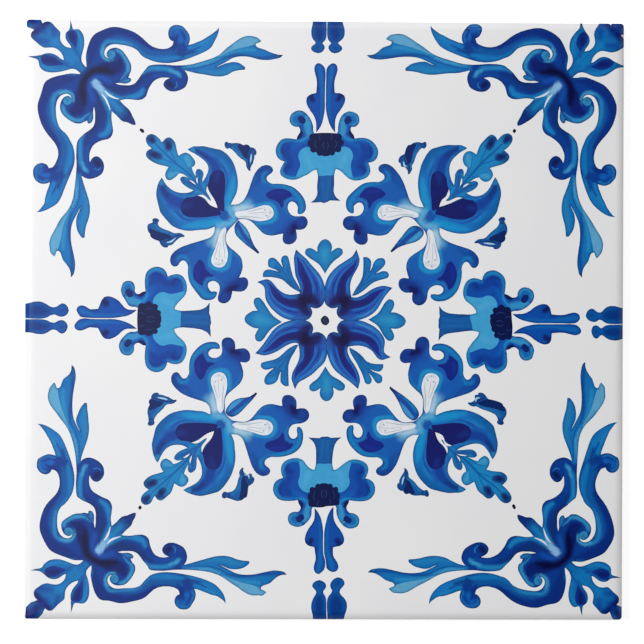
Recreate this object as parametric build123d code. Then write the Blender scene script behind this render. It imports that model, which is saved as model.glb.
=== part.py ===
from build123d import *
from math import cos, radians, sin
import os

# A pressed and fired wall tile, one piece of white ceramic with a glazed face.
# It lies on its keyed back: the back's rim and ribs are at Z 0 and the glazed face looks up along +Z.
# Sizes are in millimetres and angles in degrees.

# Outline and thickness, as sold under the nominal size of six inches.
side = 152.0
thickness = 6.0
corner_radius = 0.9

# Cushion edge: the face rolls over to a slope at the rim, and a small arris turns it into the flank.
cushion_width = 2.2
cushion_slope = 40.0
arris_radius = 0.35
# How fast the plan corner grows rounder up the rolled edge, in millimetres of radius for each of inset.
corner_softening = 0.6
# Levels that the lofts of the rolled edge pass through, above their first one.
arris_levels = 3
cushion_levels = 4

# Back bevel, where the flank draws in so that the tile leaves its die and its bed grips.
bevel_width = 0.5
bevel_height = 1.5

# Keyed back: a waffle of shallow pockets with ribs between them, inside a plain rim.
pocket_side = 14.5
pocket_depth = 0.5
pocket_corner_radius = 1.5
pocket_draft = 20.0
rib_width = 2.5
least_rim_width = 6.0

# The cushion's arc is tangent to the face, and the arris carries it on to the upright flank.
slope = radians(cushion_slope)
arris_width = arris_radius * (1 - sin(slope))
arris_drop = arris_radius * cos(slope)
cushion_radius = (cushion_width - arris_width) / sin(slope)
cushion_drop = cushion_radius * (1 - cos(slope))
land_top = thickness - cushion_drop - arris_drop

# As many whole pockets as the rim leaves room for, and the rim takes up the rest.
pitch = pocket_side + rib_width
back_side = side - 2 * bevel_width
pockets_each_way = int((back_side - 2 * least_rim_width + rib_width) // pitch)
rim_width = (back_side - pockets_each_way * pitch + rib_width) / 2


def outline(inset, radius, height):
    """The tile's rounded square, drawn in by inset, at a height above the back."""
    width = side - 2 * inset
    return Pos(0, 0, height) * RectangleRounded(width, width, radius)


def rolled_level(inset, height):
    """One level of the rolled edge, whose corners grow rounder as it climbs to the face."""
    return outline(inset, corner_radius + corner_softening * inset, height)


def arris():
    """The small round that turns the upright flank into the foot of the cushion."""
    levels = []
    for level in range(arris_levels + 1):
        turn = radians(90) + (slope - radians(90)) * level / arris_levels
        inset = arris_radius * (1 - sin(turn))
        levels.append(rolled_level(inset, land_top + arris_radius * cos(turn)))
    return loft(levels)


def cushion():
    """The soft roll from the arris up to the flat of the face."""
    levels = []
    for level in range(cushion_levels + 1):
        turn = slope * (1 - level / cushion_levels)
        inset = cushion_width - cushion_radius * sin(turn)
        levels.append(rolled_level(inset, thickness - cushion_radius * (1 - cos(turn))))
    return loft(levels)


def pressed_blank():
    """The tile's whole outside: back bevel, upright land, arris and cushion, stacked as one solid."""
    foot = outline(bevel_width, corner_radius - bevel_width, 0)
    bevel = loft([foot, outline(0, corner_radius, bevel_height)], ruled=True)
    land = extrude(outline(0, corner_radius, bevel_height), land_top - bevel_height)
    return bevel + land + arris() + cushion()


def back_pocket():
    """One shallow pocket of the waffle, open at the back and drawn in towards its floor."""
    mouth = RectangleRounded(pocket_side, pocket_side, pocket_corner_radius)
    return extrude(mouth, pocket_depth, taper=pocket_draft)


def pressed_tile():
    """The finished tile: the pressed blank with its waffle of pockets in the back."""
    pockets = GridLocations(pitch, pitch, pockets_each_way, pockets_each_way) * back_pocket()
    return pressed_blank() - pockets


os.makedirs("parts", exist_ok=True)
export_step(pressed_tile(), "parts/tile.step")
print("pockets each way", pockets_each_way, "rim width", round(rim_width, 2))
print("cushion radius", round(cushion_radius, 3), "rolled edge drop", round(thickness - land_top, 3))
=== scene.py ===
import math

import bmesh
import bpy
import numpy as np
from mathutils.geometry import delaunay_2d_cdt
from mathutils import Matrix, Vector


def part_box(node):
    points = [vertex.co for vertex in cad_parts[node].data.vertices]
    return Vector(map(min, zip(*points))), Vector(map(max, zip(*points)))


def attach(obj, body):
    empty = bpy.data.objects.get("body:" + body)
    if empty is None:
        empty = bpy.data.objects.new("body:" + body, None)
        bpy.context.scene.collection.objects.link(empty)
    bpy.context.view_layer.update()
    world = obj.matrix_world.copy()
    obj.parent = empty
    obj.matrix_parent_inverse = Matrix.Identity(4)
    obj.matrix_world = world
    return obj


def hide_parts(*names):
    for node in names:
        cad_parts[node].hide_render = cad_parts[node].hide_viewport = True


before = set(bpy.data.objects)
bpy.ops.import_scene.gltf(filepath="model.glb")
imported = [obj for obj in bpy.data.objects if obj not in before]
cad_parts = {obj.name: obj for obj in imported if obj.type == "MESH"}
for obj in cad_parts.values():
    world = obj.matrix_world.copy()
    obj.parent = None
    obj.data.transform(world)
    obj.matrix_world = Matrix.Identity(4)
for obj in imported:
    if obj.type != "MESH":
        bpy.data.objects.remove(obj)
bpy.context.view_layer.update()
scene = bpy.context.scene

# The camera is a 100 mm lens on a full frame, square above the tile at arm's length and a hair off plumb.
# Its place and turn are worked out from the four corners of the tile in the photograph.
mm = 0.001
camera_data = bpy.data.cameras.new("camera")
camera_data.lens = 100
camera_data.sensor_width = 36
camera_data.clip_start = 0.01
camera = bpy.data.objects.new("camera", camera_data)
camera.location = (-8.2 * mm, -1.9 * mm, 459.6 * mm)
camera.rotation_euler = (0.0031, -0.0165, 0.0043)
scene.collection.objects.link(camera)
scene.camera = camera
scene.view_settings.view_transform = "Standard"

# The light is one large soft lamp up to the left, and pale walls that fill in from all round.
# The glaze mirrors a ceiling that is bright to the left, which lays a faint veil over the left of the tile,
# and walls that are duller to the left, so that the lamp leaves no glare on the rolled edge.
lamp_data = bpy.data.lights.new("soft_lamp", "AREA")
lamp_data.shape = "SQUARE"
lamp_data.size = 0.3
lamp_data.energy = 3.45
lamp = bpy.data.objects.new("soft_lamp", lamp_data)
lamp.location = (-0.36, 0.12, 0.5)
lamp.rotation_euler = (-lamp.location).to_track_quat("-Z", "Y").to_euler()
lamp.visible_glossy = False
scene.collection.objects.link(lamp)


def add_node(tree, kind, inputs=None, **settings):
    """Adds a shader node, sets it up, and gives its inputs their values or links."""
    node = tree.nodes.new(kind)
    for name, value in settings.items():
        setattr(node, name, value)
    for key, value in (inputs or {}).items():
        if isinstance(value, bpy.types.NodeSocket):
            tree.links.new(value, node.inputs[key])
        else:
            node.inputs[key].default_value = value
    return node


world = bpy.data.worlds.new("pale_studio")
world.use_nodes = True
scene.world = world
room = world.node_tree
room.nodes.clear()
ceiling_slope = (-4.0, 1.15, 0)
ceiling_overhead = 0.26
ceiling_peak = 1.15
ceiling_edge = 0.85
wall_top = 0.5
wall_reach = 0.8
left_wall = 0.15
right_wall = 0.4
fill_slope = (0, 0.35, 0)
fill_light = 0.38
backdrop_light = 1.0
path = add_node(room, "ShaderNodeLightPath")
way = add_node(room, "ShaderNodeTexCoord").outputs["Generated"]
direction = add_node(room, "ShaderNodeSeparateXYZ", {0: way})
leftward = add_node(room, "ShaderNodeVectorMath", {0: way, 1: ceiling_slope}, operation="DOT_PRODUCT")
overhead = {0: leftward.outputs["Value"], 1: ceiling_overhead}
ceiling = add_node(room, "ShaderNodeMath", overhead, operation="ADD")
ceiling = add_node(room, "ShaderNodeClamp", {"Value": ceiling.outputs[0], "Min": 0.0, "Max": ceiling_peak})
dull_walls = {"Value": direction.outputs["X"], "From Min": -wall_reach, "From Max": wall_reach,
              "To Min": left_wall, "To Max": right_wall}
walls = add_node(room, "ShaderNodeMapRange", dull_walls)
low_down = {"Value": direction.outputs["Z"], "From Min": ceiling_edge, "From Max": wall_top,
            "To Min": 0.0, "To Max": 1.0}
wall_share = add_node(room, "ShaderNodeMapRange", low_down, interpolation_type="SMOOTHSTEP")
meeting = {"Factor": wall_share.outputs[0], 2: ceiling.outputs[0], 3: walls.outputs[0]}
mirrored_room = add_node(room, "ShaderNodeMix", meeting, data_type="FLOAT")
forward = add_node(room, "ShaderNodeVectorMath", {0: way, 1: fill_slope}, operation="DOT_PRODUCT")
fill = add_node(room, "ShaderNodeMath", {0: forward.outputs["Value"], 1: fill_light}, operation="ADD")
unseen = {"Factor": path.outputs["Is Glossy Ray"], 2: fill.outputs[0], 3: mirrored_room.outputs[0]}
lighting = add_node(room, "ShaderNodeMix", unseen, data_type="FLOAT")
backdrop = {"Factor": path.outputs["Is Camera Ray"], 2: lighting.outputs[0], 3: backdrop_light}
strength = add_node(room, "ShaderNodeMix", backdrop, data_type="FLOAT")
white_room = {"Color": (1, 1, 1, 1), "Strength": strength.outputs[0]}
background = add_node(room, "ShaderNodeBackground", white_room)
add_node(room, "ShaderNodeOutputWorld", {"Surface": background.outputs[0]})


# The floor is a sheet of white card that the tile lies on, matt and seamless.
# It is lifted to white where it is seen, and keeps the soft shadow under the tile's bevelled edge.
def linear(hex_colour):
    """A colour written as sRGB hex, as the linear values that shaders take."""
    srgb = np.array([int(hex_colour[i:i + 2], 16) / 255 for i in (0, 2, 4)])
    return np.where(srgb > 0.04045, ((srgb + 0.055) / 1.055) ** 2.4, srgb / 12.92)


floor_size = 8.0
floor_glow = 0.63
sheet = bmesh.new()
bmesh.ops.create_grid(sheet, x_segments=1, y_segments=1, size=floor_size / 2)
floor_mesh = bpy.data.meshes.new("card_floor")
sheet.to_mesh(floor_mesh)
sheet.free()
floor = bpy.data.objects.new("card_floor", floor_mesh)
scene.collection.objects.link(floor)
card = bpy.data.materials.new("white_card")
card.use_nodes = True
tree = card.node_tree
tree.nodes.clear()
path = add_node(tree, "ShaderNodeLightPath")
direct = {0: path.outputs["Is Camera Ray"], 1: path.outputs["Is Glossy Ray"]}
seen = add_node(tree, "ShaderNodeMath", direct, operation="ADD")
seen = add_node(tree, "ShaderNodeMath", {0: seen.outputs[0], 1: path.outputs["Is Transmission Ray"]},
                operation="ADD", use_clamp=True)
lift = add_node(tree, "ShaderNodeMath", {0: seen.outputs[0], 1: floor_glow}, operation="MULTIPLY")
matt = add_node(tree, "ShaderNodeBsdfDiffuse", {"Color": (*linear("F6F6F6"), 1)})
glow = add_node(tree, "ShaderNodeEmission", {"Color": (1, 1, 1, 1), "Strength": lift.outputs[0]})
both = add_node(tree, "ShaderNodeAddShader", {0: matt.outputs[0], 1: glow.outputs[0]})
add_node(tree, "ShaderNodeOutputMaterial", {"Surface": both.outputs[0]})
floor_mesh.materials.append(card)

# The rosette in the middle: four pairs of heart-shaped petals, with a sprig in each gap and a palmette on
# each axis. It is cobalt brushed on the raw tin glaze, a flat wash first, then darker strokes wet in wet.
# Like all of the ornament it is drawn once, for the north-east quarter or the east axis, in millimetres.
outline_step = 0.32
paint_grid = 0.54
grid_clearance = 0.4
crisp_below = 0.4
blunt_from = 0.15
look_within = 4
well_clear = 9.0
drift_evenness = 2.0
ink_width = 0.42
ink_taken = np.array([0.85, 0.58, 0.5])


def smooth_run(points, closed=False):
    """Points a step apart on a smooth line through the given ones. A third number is a radius."""
    p = np.array(points, float)
    if len(p) == 1:
        return p
    if closed:
        p = np.vstack([p[-1:], p, p[:2]])
    else:
        p = np.vstack([2 * p[0] - p[1], p, 2 * p[-1] - p[-2]])
    gap = np.maximum(np.hypot(*(p[1:] - p[:-1]).T[:2]), 1e-6)[:, None]
    slope = (p[1:] - p[:-1]) / gap
    tangent = (slope[:-1] * gap[1:] + slope[1:] * gap[:-1]) / (gap[1:] + gap[:-1])
    pieces = []
    for i in range(len(tangent) - 1):
        a, b, length = p[i + 1], p[i + 2], gap[i + 1]
        count = max(math.ceil(length[0] / outline_step), 1)
        t = np.arange(count)[:, None] / count
        pieces.append(
            (2 * t**3 - 3 * t**2 + 1) * a + (t**3 - 2 * t**2 + t) * length * tangent[i]
            + (3 * t**2 - 2 * t**3) * b + (t**3 - t**2) * length * tangent[i + 1]
        )
    if not closed:
        pieces.append(p[-2:-1])
    return np.vstack(pieces)


def open_line(runs):
    """Smooth runs that meet at corners, each going on from the end of the last one."""
    line = smooth_run(runs[0])
    for run in runs[1:]:
        line = np.vstack([line[:-1], smooth_run([tuple(line[-1]), *run])])
    return line


def closed_line(runs):
    """The same, with the last run going back to the first point."""
    return open_line([*runs[:-1], [*runs[-1], runs[0][0]]])[:-1]


def axis_shape(runs):
    """Half an outline, closed by its mirror image across the east axis."""
    half = open_line(runs)
    return np.vstack([half, (half * (1, -1))[::-1][1:-1]])


def reach(points, line):
    """How far points lie from a line, less the brush's radius where the line carries one."""
    best = np.full(len(points), 1e9)
    for a, b in zip(line[:-1], line[1:]):
        run = b[:2] - a[:2]
        t = np.clip(((points - a[:2]) @ run) / max(run @ run, 1e-12), 0, 1)
        away = np.hypot(*(points - a[:2] - t[:, None] * run).T)
        if len(a) > 2:
            away = away - (a[2] + (b[2] - a[2]) * t)
        best = np.minimum(best, away)
    return best


def inside(points, loop):
    """Which points lie inside a closed outline."""
    x, y = points.T
    odd = np.zeros(len(points), bool)
    for (x0, y0), (x1, y1) in zip(loop, np.roll(loop, -1, 0)):
        if y0 != y1:
            odd ^= ((y0 > y) != (y1 > y)) & (x < (x1 - x0) * (y - y0) / (y1 - y0) + x0)
    return odd


def past_edge(points, line):
    """How far points lie outside a brush stroke, or outside a patch where the line carries no radius."""
    away = np.full(len(points), well_clear)
    near = (points > line[:, :2].min(0) - look_within) & (points < line[:, :2].max(0) + look_within)
    near = near.all(1)
    if line.shape[1] == 2:
        sign = np.where(inside(points[near], line), -1, 1)
        away[near] = sign * reach(points[near], np.vstack([line, line[:1]]))
    else:
        away[near] = reach(points[near], line)
    return away


def stroke_rim(line):
    """The outline of a brush stroke, down one side and up the other with a round tip at each end."""
    if line.shape[1] == 2:
        return line
    ahead = np.gradient(line[:, :2], axis=0)
    ahead = ahead / np.maximum(np.hypot(*ahead.T), 1e-9)[:, None]
    across = ahead[:, ::-1] * (-1, 1)
    tips = []
    for end, sign in ((-1, 1), (0, -1)):
        steps = 5 if line[end, 2] > blunt_from else 3
        turn = np.linspace(math.pi / 2, -math.pi / 2, steps)[1:-1, None]
        round_tip = np.cos(turn) * ahead[end] + np.sin(turn) * across[end]
        tips.append(line[end, :2] + sign * line[end, 2] * round_tip)
    left = line[:, :2] + across * line[:, 2:]
    right = line[:, :2] - across * line[:, 2:]
    return np.vstack([left, tips[0], right[::-1], tips[1]])


def turned(points, turns):
    """Points carried round the tile's centre by quarter turns."""
    points = np.asarray(points, float)
    for _ in range(turns % 4):
        points = np.stack([-points[:, 1], points[:, 0]], 1)
    return points


def mirrored(points, mirror):
    """Points as they are, or mirrored across the quarter's diagonal or the east axis."""
    points = np.asarray(points, float)
    if mirror == "diagonal":
        return points[:, ::-1]
    if mirror == "axis":
        return points * (1, -1)
    return points


def wander(places, moves, part=slice(None)):
    """Where the painter's hand left the even drawing: each place in each copy, and how far it moved there.
    A part of the places is enough for a small shape, so that its neighbours don't pull at it."""
    at, by = [], []
    for (turns, mirror), steps in moves.items():
        at.append(turned(mirrored(places[part], mirror), turns))
        by.append(turned(mirrored(steps[part], mirror), turns))
    return np.vstack(at), np.vstack(by)


def placed(points, turns, mirror, drift):
    """Points of the even drawing, carried to one of its copies and moved as the hand wandered there."""
    at, by = drift
    points = turned(mirrored(points, mirror), turns)
    square = ((points[:, None, :] - at[None]) ** 2).sum(2)
    weight = 1 / (square + drift_evenness) ** 2
    return points + (weight @ by) / weight.sum(1)[:, None]


def staggered_grid(low_end, high_end, pitch):
    """Rows of points, every other row shifted by half a pitch, over a rectangle."""
    rows = []
    for row, y in enumerate(np.arange(low_end[1], high_end[1], pitch * math.sqrt(3) / 2)):
        x = np.arange(low_end[0] + pitch / 2 * (row % 2), high_end[0], pitch)
        rows.append(np.stack([x, np.full_like(x, y)], 1))
    return np.vstack(rows)


painted = []


def repeat(loops, wash, strokes, drift, copies, fold=None):
    """Paints one shape, and sets it down on the face once for each copy. A stroke is its colour, the
    softness of its edge, its strength and its points, with no radius at the points where it is a patch.
    Soft strokes shade the shape's points. Crisp ones are cut into the face with rims of their own."""
    lines, layers, rims = [], [], []
    for colour, softness, strength, points in strokes:
        line = smooth_run(points, closed=len(points[0]) == 2)
        pair = [line]
        if fold == "diagonal":
            pair.append(np.hstack([line[:, 1::-1], line[:, 2:]]))
        if fold == "axis":
            pair.append(np.hstack([line[:, :2] * (1, -1), line[:, 2:]]))
        lines.append(pair)
        if softness < crisp_below:
            rims += [stroke_rim(line) for line in pair]
    grid = staggered_grid(loops[0].min(0), loops[0].max(0), paint_grid)
    within = np.zeros(len(grid), bool)
    for loop in loops:
        within ^= inside(grid, loop)
    grid = grid[within]
    clear = np.full(len(grid), 1e9)
    for loop in [*loops, *rims]:
        clear = np.minimum(clear, abs(past_edge(grid, loop)))
    grid = grid[clear > paint_grid * grid_clearance]
    points = np.vstack([*loops, *rims, grid])
    rim_away = np.full(len(points), 1e9)
    for loop in loops:
        rim_away = np.minimum(rim_away, abs(past_edge(points, loop)))
    ink = np.clip(1 - rim_away / ink_width, 0, 1)
    for (colour, softness, strength, _), pair in zip(strokes, lines):
        away = np.min([past_edge(points, line) for line in pair], 0)
        cover = np.clip(0.5 - away / softness, 0, 1)
        cover = strength * cover**2 * (3 - 2 * cover)
        layers.append((linear(colour), strength, cover, pair if softness < crisp_below else []))
    for turns, mirror in copies:
        cut = []
        for colour, strength, cover, pair in layers:
            there = [np.hstack([placed(line[:, :2], turns, mirror, drift), line[:, 2:]]) for line in pair]
            cut.append((colour, strength, cover, there))
        painted.append({
            "points": placed(points, turns, mirror, drift), "outlines": [len(loop) for loop in loops],
            "rims": [len(rim) for rim in rims], "wash": linear(wash), "layers": cut, "ink": ink,
        })


each_quarter = [(turns, None) for turns in range(4)]
petals = closed_line([
    [(7.9, 18.05), (8.4, 16.7), (8.75, 15.4), (8.6, 14.3), (8.15, 13.1), (7.45, 11.9), (6.85, 10.7),
     (6.5, 9.5), (6.4, 8.2), (6.5, 7.1), (6.75, 5.9)],
    [(7.8, 5.8), (8.9, 6.1), (10, 6.65), (11.1, 7.4), (12.2, 8.05), (13.6, 8.6), (15.1, 8.8),
     (16.2, 8.55), (17.15, 8.3)],
    [(16.4, 7.5), (15.4, 6.3), (14.6, 5.1), (14, 4.1), (13.3, 3), (12.4, 2), (11.3, 1.15), (10, 0.5),
     (8.4, 0.02), (6.9, -0.16), (5.1, 0), (4, 0.4), (3.2, 1.2), (2.95, 2.1), (3.25, 3.35)],
    [(2.8, 3.15), (1.9, 3), (0.9, 3.4), (0.15, 4.2), (-0.12, 5.3), (-0.16, 7.3), (0.02, 8.9), (0.4, 10.2),
     (1.1, 11.55), (2.1, 12.75), (3.1, 13.7), (4.65, 14.75), (5.8, 15.5), (6.9, 16.3), (7.45, 17.1)],
])
petal_strokes = [
    ("2A76BC", 0.8, 1, [(15.9, 7.6, 0.2), (14.4, 6.2, 0.2), (13.4, 4.4, 0.3), (12, 2.6, 0.35),
     (10.2, 1.5, 0.35), (8.4, 1, 0.3)]),
    ("2A76BC", 0.8, 1, [(7.2, 16.4, 0.2), (6, 14.7, 0.2), (4.2, 13.6, 0.3), (2.4, 12, 0.35),
     (1.4, 10.2, 0.35), (1, 8.4, 0.3)]),
    ("1D4BA4", 0.35, 1, [(15, 7.5), (13.9, 6.2), (12.8, 4.9), (11.2, 3.6), (9, 2.7), (6.4, 2.4),
     (3.8, 2.2), (4.4, 1.2), (6.4, 1.1), (8.9, 1.5), (10.7, 2.2), (12.3, 3.4), (13.5, 4.9), (14.5, 6.4)]),
    ("1D4BA4", 0.35, 1, [(7.5, 15), (6.2, 13.9), (4.9, 12.8), (3.6, 11.2), (2.7, 9), (2.4, 6.4),
     (2.2, 3.8), (1, 4.4), (1.1, 6.4), (1.5, 8.9), (2.2, 10.7), (3.4, 12.3), (4.9, 13.5), (6.4, 14.5)]),
    ("1A2A82", 0.35, 1, [(15.4, 8), (13.9, 7.8), (12.5, 7.3), (11.3, 6.6), (10.2, 5.75), (9, 5.2),
     (7.6, 5), (6.4, 5.2), (4.6, 4.6), (4.4, 3), (6.4, 2.9), (8.9, 3.2), (10.7, 3.9), (12.1, 4.9),
     (13.3, 6.1), (14.4, 7.3)]),
    ("1A2A82", 0.35, 1, [(8, 15.6), (7.8, 14), (7.4, 12.6), (6.6, 11.4), (5.7, 10.3), (5.3, 9),
     (5.3, 7.6), (5.2, 6.4), (4.6, 4.6), (3, 4.4), (2.9, 6.4), (3.2, 8.9), (3.9, 10.7), (4.9, 12.1),
     (6.1, 13.3), (7.3, 14.4)]),
    ("1C1F62", 0.9, 1, [(12.6, 6.1, 0.1), (11.2, 5, 0.45), (9.4, 4.3, 0.6), (7.4, 4.2, 0.8)]),
    ("1C1F62", 0.9, 1, [(6.1, 12.6, 0.1), (5, 11.2, 0.45), (4.4, 9.4, 0.6), (4.3, 7.4, 0.8)]),
    ("1C1D5A", 1.5, 1, [(3.9, 1.5, 0.7), (4.7, 2.4, 1.2), (5.6, 3.7, 1.5), (5.6, 5, 1.2), (4.6, 5.8, 1.3),
     (2.6, 4.8, 1.3), (1.5, 4, 0.7)]),
    ("15133F", 1.2, 1, [(4.9, 3.9, 0.9), (5.4, 5.2, 0.9), (4.3, 5, 1)]),
    ("2B4690", 0.5, 1, [(4.2, 0.75, 0.2), (5.6, 0.7, 0.3), (7.2, 0.9, 0.25)]),
    ("2B4690", 0.5, 1, [(0.75, 4.4, 0.2), (0.75, 5.8, 0.3), (0.95, 7.4, 0.25)]),
    ("4C80C0", 0.3, 0.8, [(8.8, 0.85, 0.05), (10.6, 1.6, 0.12), (12, 2.8, 0.05)]),
    ("4C80C0", 0.3, 0.8, [(1, 8.6, 0.05), (1.8, 10.6, 0.14), (3.2, 12.2, 0.05)]),
    ("16205E", 0.3, 0.9, [(6.4, 1.8, 0.05), (8.6, 2.05, 0.12), (10.8, 3, 0.05)]),
    ("16205E", 0.3, 0.9, [(1.9, 6.6, 0.05), (2.1, 8.6, 0.12), (3.2, 10.9, 0.05)]),
]
sprig = closed_line([
    [(6.85, 6.25), (7.2, 6.9), (7.8, 8), (8.9, 9.8), (9.45, 11.1), (9.67, 12.9), (9.7, 14.7), (9.65, 16)],
    [(10.3, 16.1), (11.1, 15.8), (11.65, 15.1), (11.7, 14.2), (11.4, 12.5)],
    [(11.9, 13.4), (12.3, 14.6), (12.9, 15.4), (14, 15.85), (14.9, 15.7), (15.3, 15), (15.1, 14),
     (14.3, 13.1), (12.9, 11.9)],
    [(13.8, 12.25), (14.9, 12.55), (15.8, 12.3), (16.2, 11.65), (16, 10.95), (15.1, 10.55), (13.8, 10.2),
     (12.4, 9.65), (11.1, 8.7), (9.8, 7.55), (8.7, 6.8), (7.6, 6.3)],
])
sprig_strokes = [
    ("1C7CC0", 0.8, 0.9, [(11.6, 14.4, 0.4), (13.9, 14.9, 0.7)]),
    ("1C7CC0", 0.8, 0.9, [(13, 11.2, 0.3), (15.2, 11.5, 0.5)]),
    ("134F94", 0.3, 0.9, [(7.6, 7.2, 0.05), (9.4, 9.8, 0.13), (10.4, 12.2, 0.12), (10.7, 14.4, 0.05)]),
    ("134F94", 0.3, 0.9, [(9.3, 9, 0.08), (11.5, 11.4, 0.14), (13.3, 13.8, 0.06)]),
    ("134F94", 0.3, 0.9, [(9.3, 8.6, 0.06), (12, 10.4, 0.12), (14.2, 11.3, 0.05)]),
    ("12508F", 0.8, 0.8, [(8.2, 7.6, 0.3), (9.6, 9.2, 0.3)]),
]
palmette = axis_shape([
    [(11.3, 0), (12.4, 0.65), (13.7, 1.6), (14.7, 3), (15.6, 4.4), (16.6, 5.2), (17.6, 4.9), (17.9, 3.9),
     (17.5, 2.8), (17, 2)],
    [(18.3, 2), (19.5, 1.5), (20.3, 0.8), (20.6, 0)],
])
palmette_strokes = [
    ("2A8EBE", 2.2, 0.9, [(14.6, 0, 0.4), (17, 0, 1.1)]),
    ("166AA6", 0.8, 0.8, [(14, 1.6, 0.2), (15.6, 3.6, 0.25), (16.6, 4.6, 0.2)]),
    ("1368A8", 0.9, 0.7, [(18.6, 1.2, 0.3), (19.9, 0.6, 0.3)]),
    ("1C6FA6", 0.3, 0.6, [(13.2, 0.4, 0.05), (15, 1.6, 0.1), (16.4, 3.4, 0.04)]),
]
eye = smooth_run([
    (0.1, 1.15), (0.85, 0.6), (1.1, -0.3), (0.3, -1.3), (-0.65, -1), (-1.05, 0.1),
], closed=True)
eye_strokes = [
    ("34405C", 0.8, 0.6, [(0.1, 0.3, 0.2), (-0.1, 0.1, 0.2)]),
]
# Where the rosette's petal tips, gaps, sprigs and palmettes really lie in each quarter.
rosette_places = [
    (17.15, 8.3), (7.9, 18.05), (6.75, 5.75), (3, 13.7), (9, 0.3), (10.6, 16),
    (14.9, 15.7), (16.2, 11.65), (6.9, 6.3), (16.6, 5.2), (16.6, -5.2), (20.6, 0), (11.3, 0),
]
rosette_moves = {
    (0, None): [(0, 0), (0, 0), (0, 0), (0, 0), (0, 0), (0, 0), (0, 0), (0, 0), (0, 0), (-0.3, 0.2),
        (-0.3, 0), (0, -0.2), (-0.3, 0.2)],
    (1, None): [(0.8, -0.9), (1.7, -0.8), (0, 0.5), (0.2, 0.2), (0, 0), (1.2, -0.3), (0.5, -1.4),
        (0.2, -1.4), (0.1, 0), (0.4, -0.1), (0.5, 0.7), (0, 0), (0.5, 0)],
    (2, None): [(0.5, 0.2), (-0.4, -0.5), (0, 0), (0, 0), (0, 0), (-0.6, 0.7), (0, 0.6), (0, 0),
        (-0.2, 0), (-0.2, 0.3), (0.2, -0.5), (-0.2, -0.2), (-0.5, 0.5)],
    (3, None): [(0.3, 0.2), (1.4, -1.2), (0, 0), (0, 0.5), (0, 0.6), (1.4, -1.2), (0.7, -1.2), (0, -0.5),
        (0, 0), (0, 0), (0.2, 1.3), (0, 0.5), (0.4, 0.2)],
}
petal_drift = wander(rosette_places, rosette_moves, slice(0, 5))
sprig_drift = wander(rosette_places, rosette_moves, slice(5, 9))
palmette_drift = wander(rosette_places, rosette_moves, slice(9, 13))
repeat([palmette], "1A76B2", palmette_strokes, palmette_drift, each_quarter, fold="axis")
repeat([petals], "1F62AE", petal_strokes, petal_drift, each_quarter)
repeat([sprig], "176BAE", sprig_strokes, sprig_drift, each_quarter)
repeat([eye], "222F4C", eye_strokes, petal_drift, [(0, None)])

# The flower in each quarter: a calyx, two crescent leaves that hold a dark heart, and a ragged leaf at its
# tip, with scrolled wings, a small leaf below and a pair of birds at its sides.
# It is brushed from cyan to navy, and the white of the glaze is left bare in the wings and the slits.
def diagonal_shape(runs):
    """Half an outline, closed by its mirror image across the quarter's diagonal."""
    half = open_line(runs)
    return np.vstack([half, half[::-1, ::-1][1:-1]])


both_halves = [(turns, mirror) for turns in range(4) for mirror in (None, "diagonal")]
flower = diagonal_shape([
    [(47.2, 47.2), (47.55, 46.5), (47.45, 45.6), (47, 44.8), (46.3, 44), (45.4, 43.3)],
    [(46, 42.85), (46.6, 42.2), (46.75, 41.5), (46.3, 40.7), (45.5, 40.05), (44.3, 39.55), (43, 39.2),
     (41.8, 38.8)],
    [(42.3, 38.1), (42.6, 37.2), (42.3, 36.3), (41.7, 35.65), (40.8, 35.3), (40, 35.5), (39.4, 36),
     (39.1, 36.45)],
    [(38.3, 36.25), (37.5, 35.85), (36.75, 35.35)],
    [(37.7, 35.55), (38.45, 35.4), (38.8, 35), (38.6, 34.2), (37.8, 33.4), (36.8, 32.9), (35.8, 32.5)],
    [(36.8, 31.95), (38.5, 31.7), (39.75, 32), (40.8, 32.7), (41.7, 33.8), (42.3, 34.9), (42.75, 35.9),
     (43.2, 36.55)],
    [(43.85, 35.4), (44.4, 34), (44.65, 32), (44.4, 30.7), (44, 29.1), (43.6, 27.7), (42.6, 26.3),
     (41.2, 24.9), (39.6, 23.6), (37.8, 22.7), (36, 22.2), (34.2, 22.1), (32.25, 22.4), (30.6, 22.9),
     (29, 23.6)],
    [(29.2, 21.9), (29.9, 20.9), (31.2, 20.1), (32.9, 19.4), (35.1, 18.7), (37, 18), (38.3, 17),
     (39, 15.8), (39, 14.5), (38.5, 13.65), (37.8, 13.4), (37.2, 13.65), (36.65, 14.45), (36.2, 14.9),
     (35.6, 14.9), (35.1, 14.4), (34.75, 13.6), (34.75, 12.3), (34.65, 10.8), (34.3, 9.3), (33.8, 7.95),
     (32.9, 6.65), (31.8, 5.7), (30.7, 5.15), (29.4, 4.9), (28.1, 5), (27.3, 5.4), (26.8, 6.1),
     (26.9, 6.65)],
    [(27.8, 6.75), (28.8, 6.65), (29.6, 7), (30.05, 7.7), (29.9, 8.4), (29.3, 8.85), (28.2, 9),
     (27.3, 8.7), (26.5, 8.05), (26.1, 7.1), (25.95, 5.8), (25.4, 4.6), (24.65, 4), (23.8, 3.85),
     (22.9, 4.15), (22.25, 4.9), (22.1, 6), (22.25, 7.1)],
    [(21.2, 7.05), (19.9, 7.25), (18.95, 8.2), (18.65, 9.3), (18.95, 10.35), (19.8, 10.8), (20.6, 10.75),
     (21.3, 10.7)],
    [(20.85, 12.1), (20.6, 13.4), (20.7, 14.5), (21.2, 15.7), (22.25, 16.65), (23.7, 17.6), (24.9, 18.5),
     (25.5, 19.3), (25.8, 20.35), (25.75, 21.4), (25.3, 22.6), (24.5, 23.5), (24, 24)],
])
bud_gap = diagonal_shape([
    [(28.9, 28.9), (30.2, 29.3), (31.7, 30), (33.3, 30.65), (34.9, 31.2)],
    [(33.6, 31.4), (32.3, 31.1), (31.3, 30.75), (30.55, 30.55)],
])
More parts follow.
